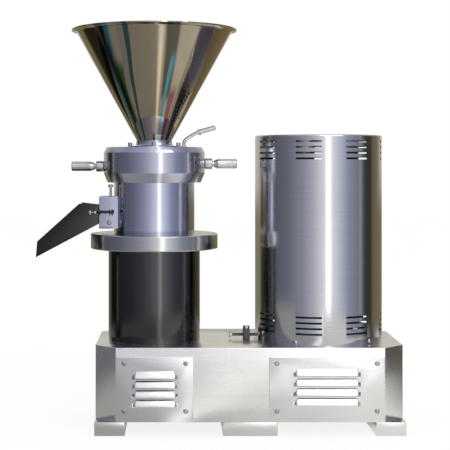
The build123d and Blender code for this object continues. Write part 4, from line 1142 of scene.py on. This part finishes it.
@dataclass
class Base(Assembly):
    """Welded base box, its feet and the louvred vent panels."""

    corner: float = 48.0
    wall: float = 3.0
    top: float = 8.0
    lip: float = 18.0
    fold: float = 2.5
    foot_wall: float = 4.0
    spindle_hole: float = 72.0
    pulley_hole: float = 76.5
    panel_edge: float = 0.7
    louvre_height: float = 16.0
    louvre_depth: float = 8.0
    louvre_sheet: float = 1.3
    louvre_rows: int = 4
    louvre_gap: float = 2.2
    screw_head: float = 5.5
    screw_rise: float = 3.2
    screw_inset: float = 17.0
    screw_lift: float = 2.5

    def build(self) -> None:
        """Make every piece of the base."""
        self._shell()
        for side in ("left", "centre", "right"):
            self._foot(side)
        screws = []
        for side, length, pitch, rise in (("left", 99.6, 21.0, -1.0), ("right", 148.0, 21.8, 3.8)):
            screws += self._panel(side, length, pitch, rise)
        head = Screws.button(self.screw_head, self.screw_rise, 2.6)
        heads = Pattern.spread("vent_panel_screw_heads", head, self.finishes["fastener_steel"], screws, (90, 0, 0))
        self.hand_over(heads, "frame", "fastener_steel", "vent_panel_screws")

    def _plan(self, inset: float, fold: float) -> list[Corner]:
        """Outline of the box from above, moved inwards.

        Args:
            inset: How far inwards.
            fold: Radius at the folded edges.

        Returns:
            The outline's corners.
        """
        low, high = extent("base_top_plate")
        left, right, front, back = low.x + inset, high.x - inset, low.y + inset, high.y - inset
        cut = self.corner - inset * (2 - math.sqrt(2))
        spots = [(left + cut, front), (right - cut, front), (right, front + cut), (right, back - cut),
                 (right - cut, back), (left + cut, back), (left, back - cut), (left, front + cut)]
        return [(x, y, fold) for x, y in spots]

    def _shell(self) -> None:
        """The box itself, hollow and open below."""
        low, _ = extent("base_front_wall")
        _, high = extent("base_top_plate")
        shell = Meshes.prism("base_shell", self._plan(0, self.fold), low.z, high.z, "XY", 1.2)
        tools = [
            Meshes.prism("cavity", self._plan(self.wall, self.fold / 2), low.z + self.wall, high.z - self.top),
            Meshes.prism("mouth", self._plan(self.lip, 0.5), low.z - 1, low.z + self.wall + 1),
        ]
        for node, radius in (("column", self.spindle_hole), ("motor_cover", self.pulley_hole)):
            corners = [(0, high.z - self.top - 1), (radius, high.z - self.top - 1), (radius, high.z + 1), (0, high.z + 1)]
            tools.append(Meshes.lathe("hole", corners, (*middle(node), 0), 96))
        for side in ("left", "right"):
            first, last = extent(f"{side}_vent_panel")
            tools.append(Meshes.box("window", (first.x + 34, low.y - 1, first.z + 26),
                                    (last.x - 34, low.y + self.wall + 1, last.z - 22)))
        Meshes.carve(shell, tools)
        self.hand_over(shell, "frame", "base_steel", "base_top_plate", "base_front_wall", "base_back_wall")

    def _foot(self, side: str) -> None:
        """One foot, an inverted tray."""
        low, high = extent(f"{side}_foot")
        foot = Meshes.box(f"{side}_foot_tray", low, high, 1.6)
        inner_low = (low.x + self.foot_wall, low.y + self.foot_wall, low.z - 1)
        inner_high = (high.x - self.foot_wall, high.y - self.foot_wall, high.z - self.foot_wall)
        Meshes.carve(foot, [Meshes.box("hollow", inner_low, inner_high)])
        self.hand_over(foot, "frame", "base_steel", f"{side}_foot")

    def _panel(self, side: str, length: float, pitch: float, rise: float) -> list[Point]:
        """One vent panel with its louvres.

        Args:
            side: Which panel.
            length: Length of a louvre.
            pitch: Height between louvres.
            rise: How far the louvres sit above the panel's middle.

        Returns:
            Places of the panel's four screws.
        """
        low, high = extent(f"{side}_vent_panel")
        face, back = extent("base_front_wall")[0].y - 2.0, extent("base_front_wall")[0].y
        x = (low.x + high.x) / 2
        plate = Meshes.prism(f"{side}_panel_plate", [(low.x, low.z, 3), (high.x, low.z, 3), (high.x, high.z, 3),
                                                     (low.x, high.z, 3)], face, back, "XZ", self.panel_edge)
        run = pitch * (self.louvre_rows - 1)
        first = (low.z + high.z) / 2 + rise - (run + self.louvre_height) / 2
        slots = []
        for row in range(self.louvre_rows):
            z = first + pitch * row
            slots.append(Meshes.box("slot", (x - length / 2 - 1.2, face - 2, z - self.louvre_gap),
                                    (x + length / 2 + 1.2, back + 2, z + self.louvre_height * 0.45)))
        Meshes.carve(plate, slots)
        self.hand_over(plate, "frame", "panel_steel", f"{side}_vent_panel")
        hood = self._hood(length)
        places = [(x, face, first + pitch * row) for row in range(self.louvre_rows)]
        hoods = Pattern.spread(f"{side}_louvres", hood, self.finishes["panel_steel"], places)
        self.hand_over(hoods, "frame", "panel_steel")
        return [(sx, face, sz) for sx in (low.x + self.screw_inset, high.x - self.screw_inset)
                for sz in (low.z + self.screw_inset + self.screw_lift, high.z - self.screw_inset + self.screw_lift)]

    def _hood(self, length: float) -> bpy.types.Object:
        """Pressed hood of a louvre: its section swept along X and turned round at both ends.

        Args:
            length: Overall length.

        Returns:
            The hood, its foot at the origin on the plate's face.
        """
        depth, height, sheet = self.louvre_depth, self.louvre_height, self.louvre_sheet
        bulge = [(depth * (1 - (0.06 + 0.094 * k) ** 1.5), height * (0.06 + 0.094 * k)) for k in range(10)]
        outer = [(depth * 0.94, 0.0), *bulge, (0.0, height)]
        inner = [(max(d - sheet, 0.0), max(z - sheet * 0.9, 0.0) if k else 0.0) for k, (d, z) in enumerate(outer)]
        section = outer + inner[::-1]
        half = length / 2 - depth
        stations = [(-half, math.pi + math.pi / 2 * k / 10) for k in range(11)]
        stations += [(half, 1.5 * math.pi + math.pi / 2 * k / 10) for k in range(11)]
        verts = [(x + d * math.cos(a), d * math.sin(a), z) for x, a in stations for d, z in section]
        count = len(section)
        faces = [(s * count + k, s * count + (k + 1) % count, (s + 1) * count + (k + 1) % count, (s + 1) * count + k)
                 for s in range(len(stations) - 1) for k in range(count)]
        faces += [tuple(range(count))[::-1], tuple(range(len(verts) - count, len(verts)))]
        return Meshes.smooth(Meshes.from_data("hood", verts, faces, MM), sharp=50.0)


@dataclass
class GrindingHead(Assembly):
    """Column, flange disc and grinding housing with the discharge block."""

    column_wall: float = 8.0
    column_flange: float = 14.0
    column_seat: float = 96.3
    cartridge_hole: float = 52.3
    disc_bore: float = 28.3
    disc_edge: float = 3.2
    housing_radius: float = 95.0
    housing_bore: float = 78.0
    housing_floor: float = 12.0
    outlet_half: float = 28.0
    outlet_offset: float = 12.0
    outlet_lift: float = 13.0
    outlet_height: float = 48.0
    block_step: float = 2.5
    slot_lift: float = 31.0
    slot_height: float = 14.0
    slot_end: float = 93.0
    slot_back: float = -20.0
    pin_x: float = 101.0
    pin_y: float = -40.0
    pin_radius: float = 3.0

    def build(self) -> None:
        """Make the upright pieces."""
        self.place = (*middle("column"), 0)
        self._column()
        low, high = extent("flange_disc")
        disc = Meshes.lathe("disc_body", [
            (self.disc_bore, low.z), (150.0, low.z, self.disc_edge), (150.0, high.z, self.disc_edge),
            (self.disc_bore, high.z)], self.place, 256)
        self.hand_over(disc, "frame", "disc_steel", "flange_disc")
        self._housing()
        self._block()
        self._pin_and_screw()

    def _column(self) -> None:
        """Hollow column with a flange inside each end."""
        low, high = extent("column")
        radius = (high.x - low.x) / 2
        inner, step = radius - self.column_wall, self.column_flange
        column = Meshes.lathe("column_tube", [
            (72.0, low.z), (radius, low.z, 0.8), (radius, high.z, 0.8), (self.column_seat, high.z),
            (self.column_seat, high.z - step / 2), (self.cartridge_hole, high.z - step / 2),
            (self.cartridge_hole, high.z - step * 1.5), (inner, high.z - step * 1.5), (inner, low.z + step),
            (72.0, low.z + step)], self.place, 256)
        self.hand_over(column, "frame", "column_steel", "column")

    def _housing(self) -> None:
        """Bored housing with the window of the paste outlet."""
        low, high = extent("grinding_housing")
        radius, bore, floor = self.housing_radius, self.housing_bore, low.z + self.housing_floor
        housing = Meshes.lathe("housing_body", [
            (28.02, low.z), (radius, low.z, 0.6), (radius, high.z, 2.0), (bore, high.z, 1.0), (bore, floor, 6.0),
            (28.02, floor)], self.place, 256)
        Meshes.carve(housing, [self._outlet("window")])
        self.hand_over(housing, "frame", "housing_steel", "grinding_housing")

    def _outlet(self, name: str) -> bpy.types.Object:
        """Tool for the paste passage through block and housing wall."""
        low, _ = extent("discharge_block")
        x = self.place[0]
        front, back = self.outlet_offset - self.outlet_half, self.outlet_offset + self.outlet_half
        return Meshes.box(name, (low.x - 2, front, low.z + self.outlet_lift),
                          (x - self.housing_bore + 25, back, low.z + self.outlet_lift + self.outlet_height), 1.5)

    def _block(self) -> None:
        """Discharge block: stepped front, paste outlet and the slot for the chute's tongue."""
        low, high = extent("discharge_block")
        x = self.place[0]
        seat = x - self.housing_radius
        outline = [(low.y, low.z, 4), (high.y, low.z, 4), (high.y, high.z, 4), (low.y, high.z, 4)]
        block = Meshes.prism("outlet_block", outline, low.x, x - self.housing_radius / 2, "YZ", 0.8)
        bore = [(0, low.z - 1), (self.housing_radius + 0.02, low.z - 1), (self.housing_radius + 0.02, high.z + 1),
                (0, high.z + 1)]
        slot_low = low.z + self.slot_lift
        tools = [
            Meshes.lathe("bore", bore, self.place, 128),
            self._outlet("passage"),
            Meshes.box("tongue_slot", (low.x - 1, low.y - 1, slot_low),
                       (x - self.slot_end, self.slot_back, slot_low + self.slot_height)),
            Meshes.box("step", (seat - 0.5, low.y - 1, low.z - 1), (x, low.y + self.block_step, high.z + 1)),
        ]
        Meshes.carve(block, tools)
        self.hand_over(block, "frame", "housing_steel", "discharge_block")

    def _pin_and_screw(self) -> None:
        """Headed hinge pin and the screw low on the block."""
        low, high = extent("chute_hinge_pin")
        x = self.place[0] - self.pin_x
        head = (high.x - low.x) / 2
        pin = Meshes.lathe("hinge_pin", [
            (0, low.z), (self.pin_radius, low.z, 0.5), (self.pin_radius, high.z - 6.0), (head, high.z - 6.0, 0.8),
            (head, high.z - 1.0, 1.0), (head - 2.0, high.z, 1.0), (0, high.z)], (x, self.pin_y, 0), 48)
        self.hand_over(pin, "frame", "fastener_steel", "chute_hinge_pin")
        low, high = extent("discharge_block_screw")
        spot = ((low.x + high.x) / 2, extent("discharge_block")[0].y, (low.z + high.z) / 2)
        screw = Pattern.spread("block_screw_head", Screws.button((high.x - low.x) / 2, 3.2, 2.4),
                               self.finishes["fastener_steel"], [spot], (90, 0, 0))
        self.hand_over(screw, "frame", "fastener_steel", "discharge_block_screw")


@dataclass
class Chute(Assembly):
    """Open channel that swings on the hinge pin, and its small latch rod."""

    half_width: float = 50.0
    wall: float = 2.0
    slope: float = 28.0
    start_reach: float = 129.0
    end_reach: float = 275.0
    start_height: float = 42.0
    peak_run: float = 45.0
    peak_rise: float = 47.5
    end_height: float = 37.0
    tongue: float = 7.0
    rod_radius: float = 2.0
    ball_radius: float = 4.5

    def build(self) -> None:
        """Make the chute and the rod."""
        axis = middle("column")[0]
        block_low, _ = extent("discharge_block")
        start, end = axis - self.start_reach, axis - self.end_reach
        fall = math.tan(math.radians(self.slope))
        floor = block_low.z + 13.0 - 2.0
        tip = floor - (start - end) * fall
        side = [(start, floor), (start, floor + self.start_height),
                (start - self.peak_run, floor + self.peak_rise, 3.0), (end + 3, tip + self.end_height), (end, tip)]
        chute = Meshes.prism("chute_channel", side, -self.half_width, self.half_width, "XZ")
        lift = self.wall / math.cos(math.radians(self.slope)) + fall
        above = floor + 2 * self.peak_rise
        inside = [(start + 1, floor + lift), (start + 1, above), (end - 1, above),
                  (end - 1, floor + lift - (start - end + 2) * fall)]
        inner = self.half_width - self.wall
        Meshes.carve(chute, [Meshes.prism("inside", inside, -inner, inner, "XZ")], edge=0.35)
        low = block_low.z + 31.0 + 4.0
        pin = axis - 101.0
        hub = [(3.05, low), (self.tongue, low, 0.5), (self.tongue, low + 6, 0.5), (3.05, low + 6)]
        arm = Meshes.box("arm", (start - 8, -47.0, low), (pin - 4, -34.0, low + 6), 0.5)
        web = Meshes.box("web", (start - 8, -self.half_width, low), (start, -34.0, low + 6), 0.5)
        whole = Meshes.merge("chute_with_tongue", [chute, arm, web, Meshes.lathe("hub", hub, (pin, -40.0, 0), 48)])
        self.hand_over(whole, "chute", "chute_steel", "chute")
        self._latch_rod(axis - 128.0 - 24.0, low + 3.0)

    def _latch_rod(self, left: float, z: float) -> None:
        """Thin rod with a ball, held by an ear.

        Args:
            left: The rod's free end.
            z: Its height.
        """
        y = -self.half_width - self.ball_radius - 1
        right = left + 24.0 - 2 * self.ball_radius
        ball = [(self.ball_radius * math.sin(t), self.ball_radius * -math.cos(t))
                for t in (math.pi * k / 24 for k in range(25))]
        ball[0], ball[-1] = (0.0, -self.ball_radius), (0.0, self.ball_radius)
        pieces = [
            Meshes.lathe("rod", [(0, left), (self.rod_radius, left, 0.6), (self.rod_radius, right), (0, right)],
                         (0, y, z), 32, "X"),
            Meshes.lathe("ball", ball, (right, y, z), 48),
            Meshes.box("ear", (left + 2, y - 3, z - 5), (left + 6, -self.half_width, z + 5), 0.8),
        ]
        self.hand_over(Meshes.merge("latch_rod", pieces), "chute", "fastener_steel", "chute_latch_rod")


@dataclass
class AdjustingRing(Assembly):
    """Adjusting ring with side handles, hopper collar, hopper and clamping lever."""

    ring_bore: float = 95.5
    ring_plate: float = 24.0
    throat: float = 33.0
    top_bevel: float = 7.0
    top_bevel_height: float = 13.0
    foot_bevel: float = 9.0
    foot_bevel_height: float = 22.0
    handle_level: float = 44.0
    left_drop: float = 6.0
    grip_radius: float = 11.3
    grip_length: float = 45.0
    flutes: int = 16
    collar_radius: float = 43.0
    collar_flange: float = 63.0
    screw_circle: float = 57.0
    hopper_wall: float = 1.5
    spigot: float = 36.0
    spigot_length: float = 14.0
    neck: float = 41.0
    mouth: float = 184.5
    mouth_drop: float = 4.5
    lever_place: float = 70.0

    def build(self) -> None:
        """Make what turns with the ring."""
        self.place = (*middle("column"), 0)
        self._ring()
        self._handle("right", 1.0, 0.0)
        self._handle("left", -1.0, self.left_drop)
        self._collar()
        self._hopper()
        self._lever()

    def _ring(self) -> None:
        """The ring itself, a cap with bevels above and below."""
        low, high = extent("adjusting_ring")
        radius = (high.x - low.x) / 2
        ring = Meshes.lathe("ring_cap", [
            (self.ring_bore, low.z), (radius - self.foot_bevel, low.z, 0.8),
            (radius, low.z + self.foot_bevel_height, 1.0), (radius, high.z - self.top_bevel_height, 1.0),
            (radius - self.top_bevel, high.z, 0.8), (self.throat, high.z, 0.5), (self.throat, high.z - self.ring_plate),
            (self.ring_bore, high.z - self.ring_plate)], self.place, 256)
        self.hand_over(ring, "ring", "ring_steel", "adjusting_ring")

    def _handle(self, side: str, way: float, drop: float) -> None:
        """Collar, neck and fluted grip of one side handle.

        Args:
            side: The handle's name.
            way: +1 for the handle that points along +X, -1 for the other.
            drop: How much lower it sits.
        """
        ring_low, ring_high = extent("adjusting_ring")
        radius = (ring_high.x - ring_low.x) / 2
        place = (self.place[0], 0.0, ring_low.z + self.handle_level - drop)
        start = radius + 0.3
        neck = radius + 18.0
        grip = neck + 13.0
        end = grip + self.grip_length
        profile = [(0, radius - 13), (6, radius - 13), (6, start), (11.5, start, 0.3), (13, start + 1.5, 0.5),
                   (13, neck - 1.5, 0.5), (11.5, neck, 0.3), (6.5, neck, 0.8), (6.5, end - 4), (0, end - 4)]
        bar = Meshes.lathe(f"{side}_handle_bar", [(r, way * x, *rest) for r, x, *rest in profile], place, 64, "X")
        self.hand_over(bar, "ring", "handle_steel", f"{side}_handle")
        sleeve = [(6.52, grip - 9.1), (8.0, grip - 9.1, 0.4), (self.grip_radius, grip, 1.0),
                  (self.grip_radius, end - 1.4, 1.2), (self.grip_radius - 1.4, end, 0.5), (0, end), (0, end - 3.5),
                  (6.52, end - 3.5)]
        cover = Meshes.lathe(f"{side}_grip_sleeve", [(r, way * x, *rest) for r, x, *rest in sleeve], place, 192, "X")
        self._flute(cover, place, way * (grip + 4), way * (end - 4))
        self.hand_over(cover, "ring", "grip_steel", f"{side}_grip")

    def _flute(self, sleeve: bpy.types.Object, place: Point, start: float, end: float) -> None:
        """Press shallow flutes into a sleeve between two places.

        Args:
            sleeve: The sleeve, lying along X.
            place: A point on its axis.
            start: Where the flutes begin, from that point.
            end: Where they end.
        """
        mesh = bmesh.new()
        mesh.from_mesh(sleeve.data)
        left, right = sorted((place[0] + start, place[0] + end))
        for level in (left, left + 2, right - 2, right):
            geom = mesh.verts[:] + mesh.edges[:] + mesh.faces[:]
            bmesh.ops.bisect_plane(mesh, geom=geom, plane_co=(level * MM, 0, 0), plane_no=(1, 0, 0))
        for vert in mesh.verts:
            x, y, z = vert.co / MM
            radius = math.hypot(y - place[1], z - place[2])
            inside = min(x - left, right - x)
            if radius > self.grip_radius - 0.1 and inside > 1.0:
                turn = math.atan2(z - place[2], y - place[1])
                push = 1 - 0.035 * max(0.0, math.cos(self.flutes * turn)) ** 0.6
                vert.co.y = (place[1] + (y - place[1]) * push) * MM
                vert.co.z = (place[2] + (z - place[2]) * push) * MM
        mesh.to_mesh(sleeve.data)
        mesh.free()

    def _collar(self) -> None:
        """Hopper seat: tube that flares into a thin screwed flange."""
        low, high = extent("hopper_collar")
        bore = self.spigot + 0.3
        collar = Meshes.lathe("collar_body", [
            (bore, low.z), (self.collar_flange, low.z), (self.collar_flange, low.z + 3, 0.6),
            (self.collar_radius + 1, low.z + 3, 5.0), (self.collar_radius - 0.5, high.z - 3.5, 2.0),
            (self.collar_radius, high.z, 0.6), (bore, high.z, 0.4)], self.place, 192)
        self.hand_over(collar, "ring", "ring_steel", "hopper_collar")
        spots = []
        for k in range(4):
            turn = math.radians(90 * k)
            spots.append((self.place[0] + self.screw_circle * math.cos(turn), self.screw_circle * math.sin(turn),
                          low.z + 3))
        heads = Pattern.spread("collar_screw_heads", Screws.cap(5.3, 8.0, 2.9), self.finishes["fastener_steel"], spots)
        self.hand_over(heads, "ring", "fastener_steel", "collar_screws")

    def _hopper(self) -> None:
        """Spun sheet funnel with a spigot and a rim that is rolled outwards."""
        low, high = extent("hopper")
        collar = extent("hopper_collar")[1].z
        rim = (high.x - low.x) / 2
        top = high.z - self.mouth_drop
        slope = math.atan2(self.mouth - self.neck, top - collar)
        run = self.hopper_wall / math.cos(slope)
        inner = self.spigot - self.hopper_wall
        hopper = Meshes.lathe("hopper_cone", [
            (inner, collar - self.spigot_length), (self.spigot, collar - self.spigot_length),
            (self.spigot, collar), (self.neck, collar, 1.5), (self.mouth - 1.0, top - 1.8, 8.0),
            (rim - 3.0, high.z - 2.3, 2.0), (rim - 1.0, high.z - 3.6, 1.0), (rim, high.z - 2.6, 0.8),
            (rim - 0.4, high.z, 1.6), (self.mouth + 2.0, high.z - 0.6, 6.0),
            (self.mouth - run, top - 0.4, 5.0), (self.neck - run - 0.6, collar + self.hopper_wall, 2.0),
            (inner, collar - 3)], self.place, 288)
        self.hand_over(hopper, "ring", "hopper_mirror", "hopper")

    def _lever(self) -> None:
        """Bent clamping lever with its boss and sleeve."""
        base = extent("adjusting_ring")[1].z
        x = self.place[0] + self.lever_place
        corners = [(0, -12), (0, 16), (29, 34), (72, 46)]
        path = self._bent(corners, 9.0)
        bar = Meshes.tube("lever_bar", [(x + a, 0.0, base + b) for a, b in path], [4.0] * len(path))
        boss = Meshes.lathe("lever_boss", [(0, 0.2), (6, 0.2), (6, 4, 0.8), (0, 4)], (x, 0, base), 48)
        self.hand_over(Meshes.merge("lever_rod", [bar, boss]), "lever", "handle_steel", "clamping_lever")
        (ax, az), (bx, bz) = corners[2], corners[3]
        length = math.hypot(bx - ax, bz - az)
        ux, uz = (bx - ax) / length, (bz - az) / length
        stations = [(4.2, 4.6), (4.5, 6.4), (9.0, 6.6), (9.6, 5.8), (length + 1.0, 5.6), (length + 2.6, 4.4),
                    (length + 3.0, 3.0)]
        sleeve = Meshes.tube("lever_sleeve", [(x + ax + ux * t, 0.0, base + az + uz * t) for t, _ in stations],
                             [r for _, r in stations])
        stop = Meshes.lathe("stop", [(0, -2.0), (2.4, -2.0, 0.6), (2.4, 2.2, 0.4), (0, 2.2)],
                            (x + ax + ux * 9 + 1.0, 0.0, base + az + uz * 9 - 5.6), 24)
        self.hand_over(Meshes.merge("lever_grip_sleeve", [sleeve, stop]), "lever", "grip_steel", "lever_grip")

    @staticmethod
    def _bent(corners: Sequence[tuple[float, float]], radius: float) -> list[tuple[float, float]]:
        """Open path with its inner corners rounded.

        Args:
            corners: The path's corners.
            radius: Reach of each bend.

        Returns:
            The path's points.
        """
        points = [corners[0]]
        for before, here, after in zip(corners, corners[1:], corners[2:]):
            spot = Vector(here)
            start = spot + (Vector(before) - spot).normalized() * radius
            end = spot + (Vector(after) - spot).normalized() * radius
            for k in range(9):
                t = k / 8
                points.append(tuple(start * (1 - t) ** 2 + spot * (2 * t * (1 - t)) + end * t ** 2))
        return [*points, corners[-1]]


@dataclass
class MotorCover(Assembly):
    """Round slotted cover over the motor, its screws, and the belt tension block."""

    wall: float = 2.5
    edge: float = 5.0
    slot_groups: int = 8
    slot_first: float = -105.0
    slot_half: float = 30.0
    slot_height: float = 4.5
    slot_rows: int = 4
    upper_drop: float = 54.3
    upper_pitch: float = 13.0
    lower_lift: float = 27.4
    lower_pitch: float = 12.6
    screw_count: int = 5
    screw_first: float = -117.0
    screw_lift: float = 8.0

    def build(self) -> None:
        """Make the cover and what stands beside it."""
        low, high = extent("motor_cover")
        radius = (high.x - low.x) / 2
        x, y = middle("motor_cover")
        shell = Meshes.lathe("cover_shell", [
            (radius - self.wall, low.z), (radius, low.z, 0.6), (radius, high.z, self.edge), (0, high.z),
            (0, high.z - self.wall), (radius - self.wall, high.z - self.wall, self.edge - 1)], (x, y, 0), 256)
        steel = self.finishes["cover_steel"]
        for level, pitch in ((high.z - self.upper_drop, self.upper_pitch), (low.z + self.lower_lift, self.lower_pitch)):
            shell = Pattern.around("cover_shell", self._slot(radius), steel, (x, y, level), self.slot_groups,
                                   self.slot_first, self.slot_rows, pitch, shell)
        self.hand_over(shell, "frame", "cover_steel", "motor_cover")
        head = self._side_head(radius)
        heads = Pattern.around("cover_screw_heads", head, self.finishes["fastener_steel"],
                               (x, y, low.z + self.screw_lift), self.screw_count, self.screw_first)
        self.hand_over(heads, "frame", "fastener_steel", "cover_screws")
        self._tension_block()
        self._gland()

    def _slot(self, radius: float) -> bpy.types.Object:
        """Tool for one air slot with round ends, reaching out along X."""
        half, tall = self.slot_half, self.slot_height / 2
        outline = [(-half, -tall, 1.9), (half, -tall, 1.9), (half, tall, 1.9), (-half, tall, 1.9)]
        return Meshes.prism("slot", outline, radius - 22, radius + 8, "YZ")

    def _side_head(self, radius: float) -> bpy.types.Object:
        """Button head that faces along +X at a radius."""
        head = Screws.button(5.0, 3.0, 2.5)
        head.data.transform(Matrix.Translation(((radius + 0.02) * MM, 0, 0)) @ Matrix.Rotation(math.radians(90), 4, "Y"))
        return head

    def _tension_block(self) -> None:
        """Tension block, its bolt head and the long screw."""
        low, high = extent("tension_block")
        block = Meshes.box("tension_post", low, high, 1.2)
        self.hand_over(block, "frame", "dark_iron", "tension_block")
        low, high = extent("tension_block_bolt")
        x, y = middle("tension_block_bolt")
        bolt = Meshes.lathe("tension_bolt_head", [(0, low.z), (7.4, low.z, 0.3), (7.4, low.z + 1.2, 0.3),
                                                  (5.6, low.z + 1.4), (0, low.z + 1.4)], (x, y, 0), 48)
        top = Screws.hexagon((high.x - low.x) / 2 - 0.1, low.z + 1.2, high.z, 0.6)
        top.data.transform(Matrix.Translation((x * MM, y * MM, 0)))
        self.hand_over(Meshes.merge("tension_bolt", [bolt, top]), "frame", "fastener_steel", "tension_block_bolt")
        low, high = extent("tension_screw")
        y, z = (low.y + high.y) / 2, (low.z + high.z) / 2
        head = Screws.hexagon((high.y - low.y) / 2 - 0.1, 0.0, 5.5, 0.6)
        turn = Matrix.Translation((low.x * MM, y * MM, z * MM)) @ Matrix.Rotation(math.radians(90), 4, "Y")
        head.data.transform(turn)
        bar = Meshes.lathe("screw_bar", self._thread(low.x + 5, high.x), (0, y, z), 48, "X")
        self.hand_over(Meshes.merge("tension_bar", [head, bar]), "tension_screw", "fastener_steel", "tension_screw")

    @staticmethod
    def _thread(start: float, end: float, radius: float = 4.0, pitch: float = 1.5) -> list[Corner]:
        """Outline of a bar with fine grooves in place of a thread."""
        corners = [(0, start), (radius, start)]
        level = start + 2
        while level < end - 2:
            corners += [(radius, level), (radius - 0.45, level + pitch / 2)]
            level += pitch
        return [*corners, (radius, end - 1), (radius - 1, end), (0, end)]

    def _gland(self) -> None:
        """Cable gland in the back wall, with its two hexagon nuts."""
        low, high = extent("cable_gland")
        wall = extent("base_back_wall")[1].y
        x, z = (low.x + high.x) / 2, (low.z + high.z) / 2
        bore = 5.5
        sleeve = Meshes.lathe("gland_sleeve", [
            (bore, low.y, 0.4), (7.9, low.y, 0.6), (7.9, wall + 1), (11.0, wall + 8), (11.0, high.y - 3, 1.0),
            (9.0, high.y, 1.4), (bore, high.y, 0.8)], (x, 0, z), 64, "Y")
        nuts = []
        for start, end in ((low.y + 3, wall - 3.0), (wall, wall + 8)):
            nut = Screws.hexagon(11.9 / math.cos(math.radians(30)), start, end, 0.7)
            nut.data.transform(Matrix.Translation((x * MM, 0, z * MM)) @ Matrix.Rotation(math.radians(-90), 4, "X"))
            nuts.append(Meshes.carve(nut, [Meshes.lathe("bore", [(0, start - 1), (7.8, start - 1), (7.8, end + 1),
                                                                 (0, end + 1)], (x, 0, z), 48, "Y")]))
        self.hand_over(Meshes.merge("cable_gland_body", [sleeve, *nuts]), "frame", "gland_plastic", "cable_gland")


def base_centre() -> float:
    """Middle of the base along X, in metres."""
    return middle("base_top_plate")[0] * MM


def axis_of(node: str) -> Point:
    """Foot of a node's upright axis, in metres."""
    x, y = middle(node)
    return (x * MM, y * MM, 0.0)


def main() -> None:
    """Build the dressed machine and its studio."""
    logging.basicConfig(level=logging.INFO, format="%(name)s: %(message)s")
    bpy.context.scene.view_settings.view_transform = "Standard"
    cone = extent("hopper_collar")[1].z * MM, extent("hopper")[1].z * MM
    finishes = Finishes(axis_of("column"), axis_of("motor_cover"), cone)
    finishes.dress_frame()
    for assembly in (Base, GrindingHead, Chute, AdjustingRing, MotorCover):
        assembly(finishes).build()
    Studio(base_centre()).build()


if __name__ == "__main__":
    main()
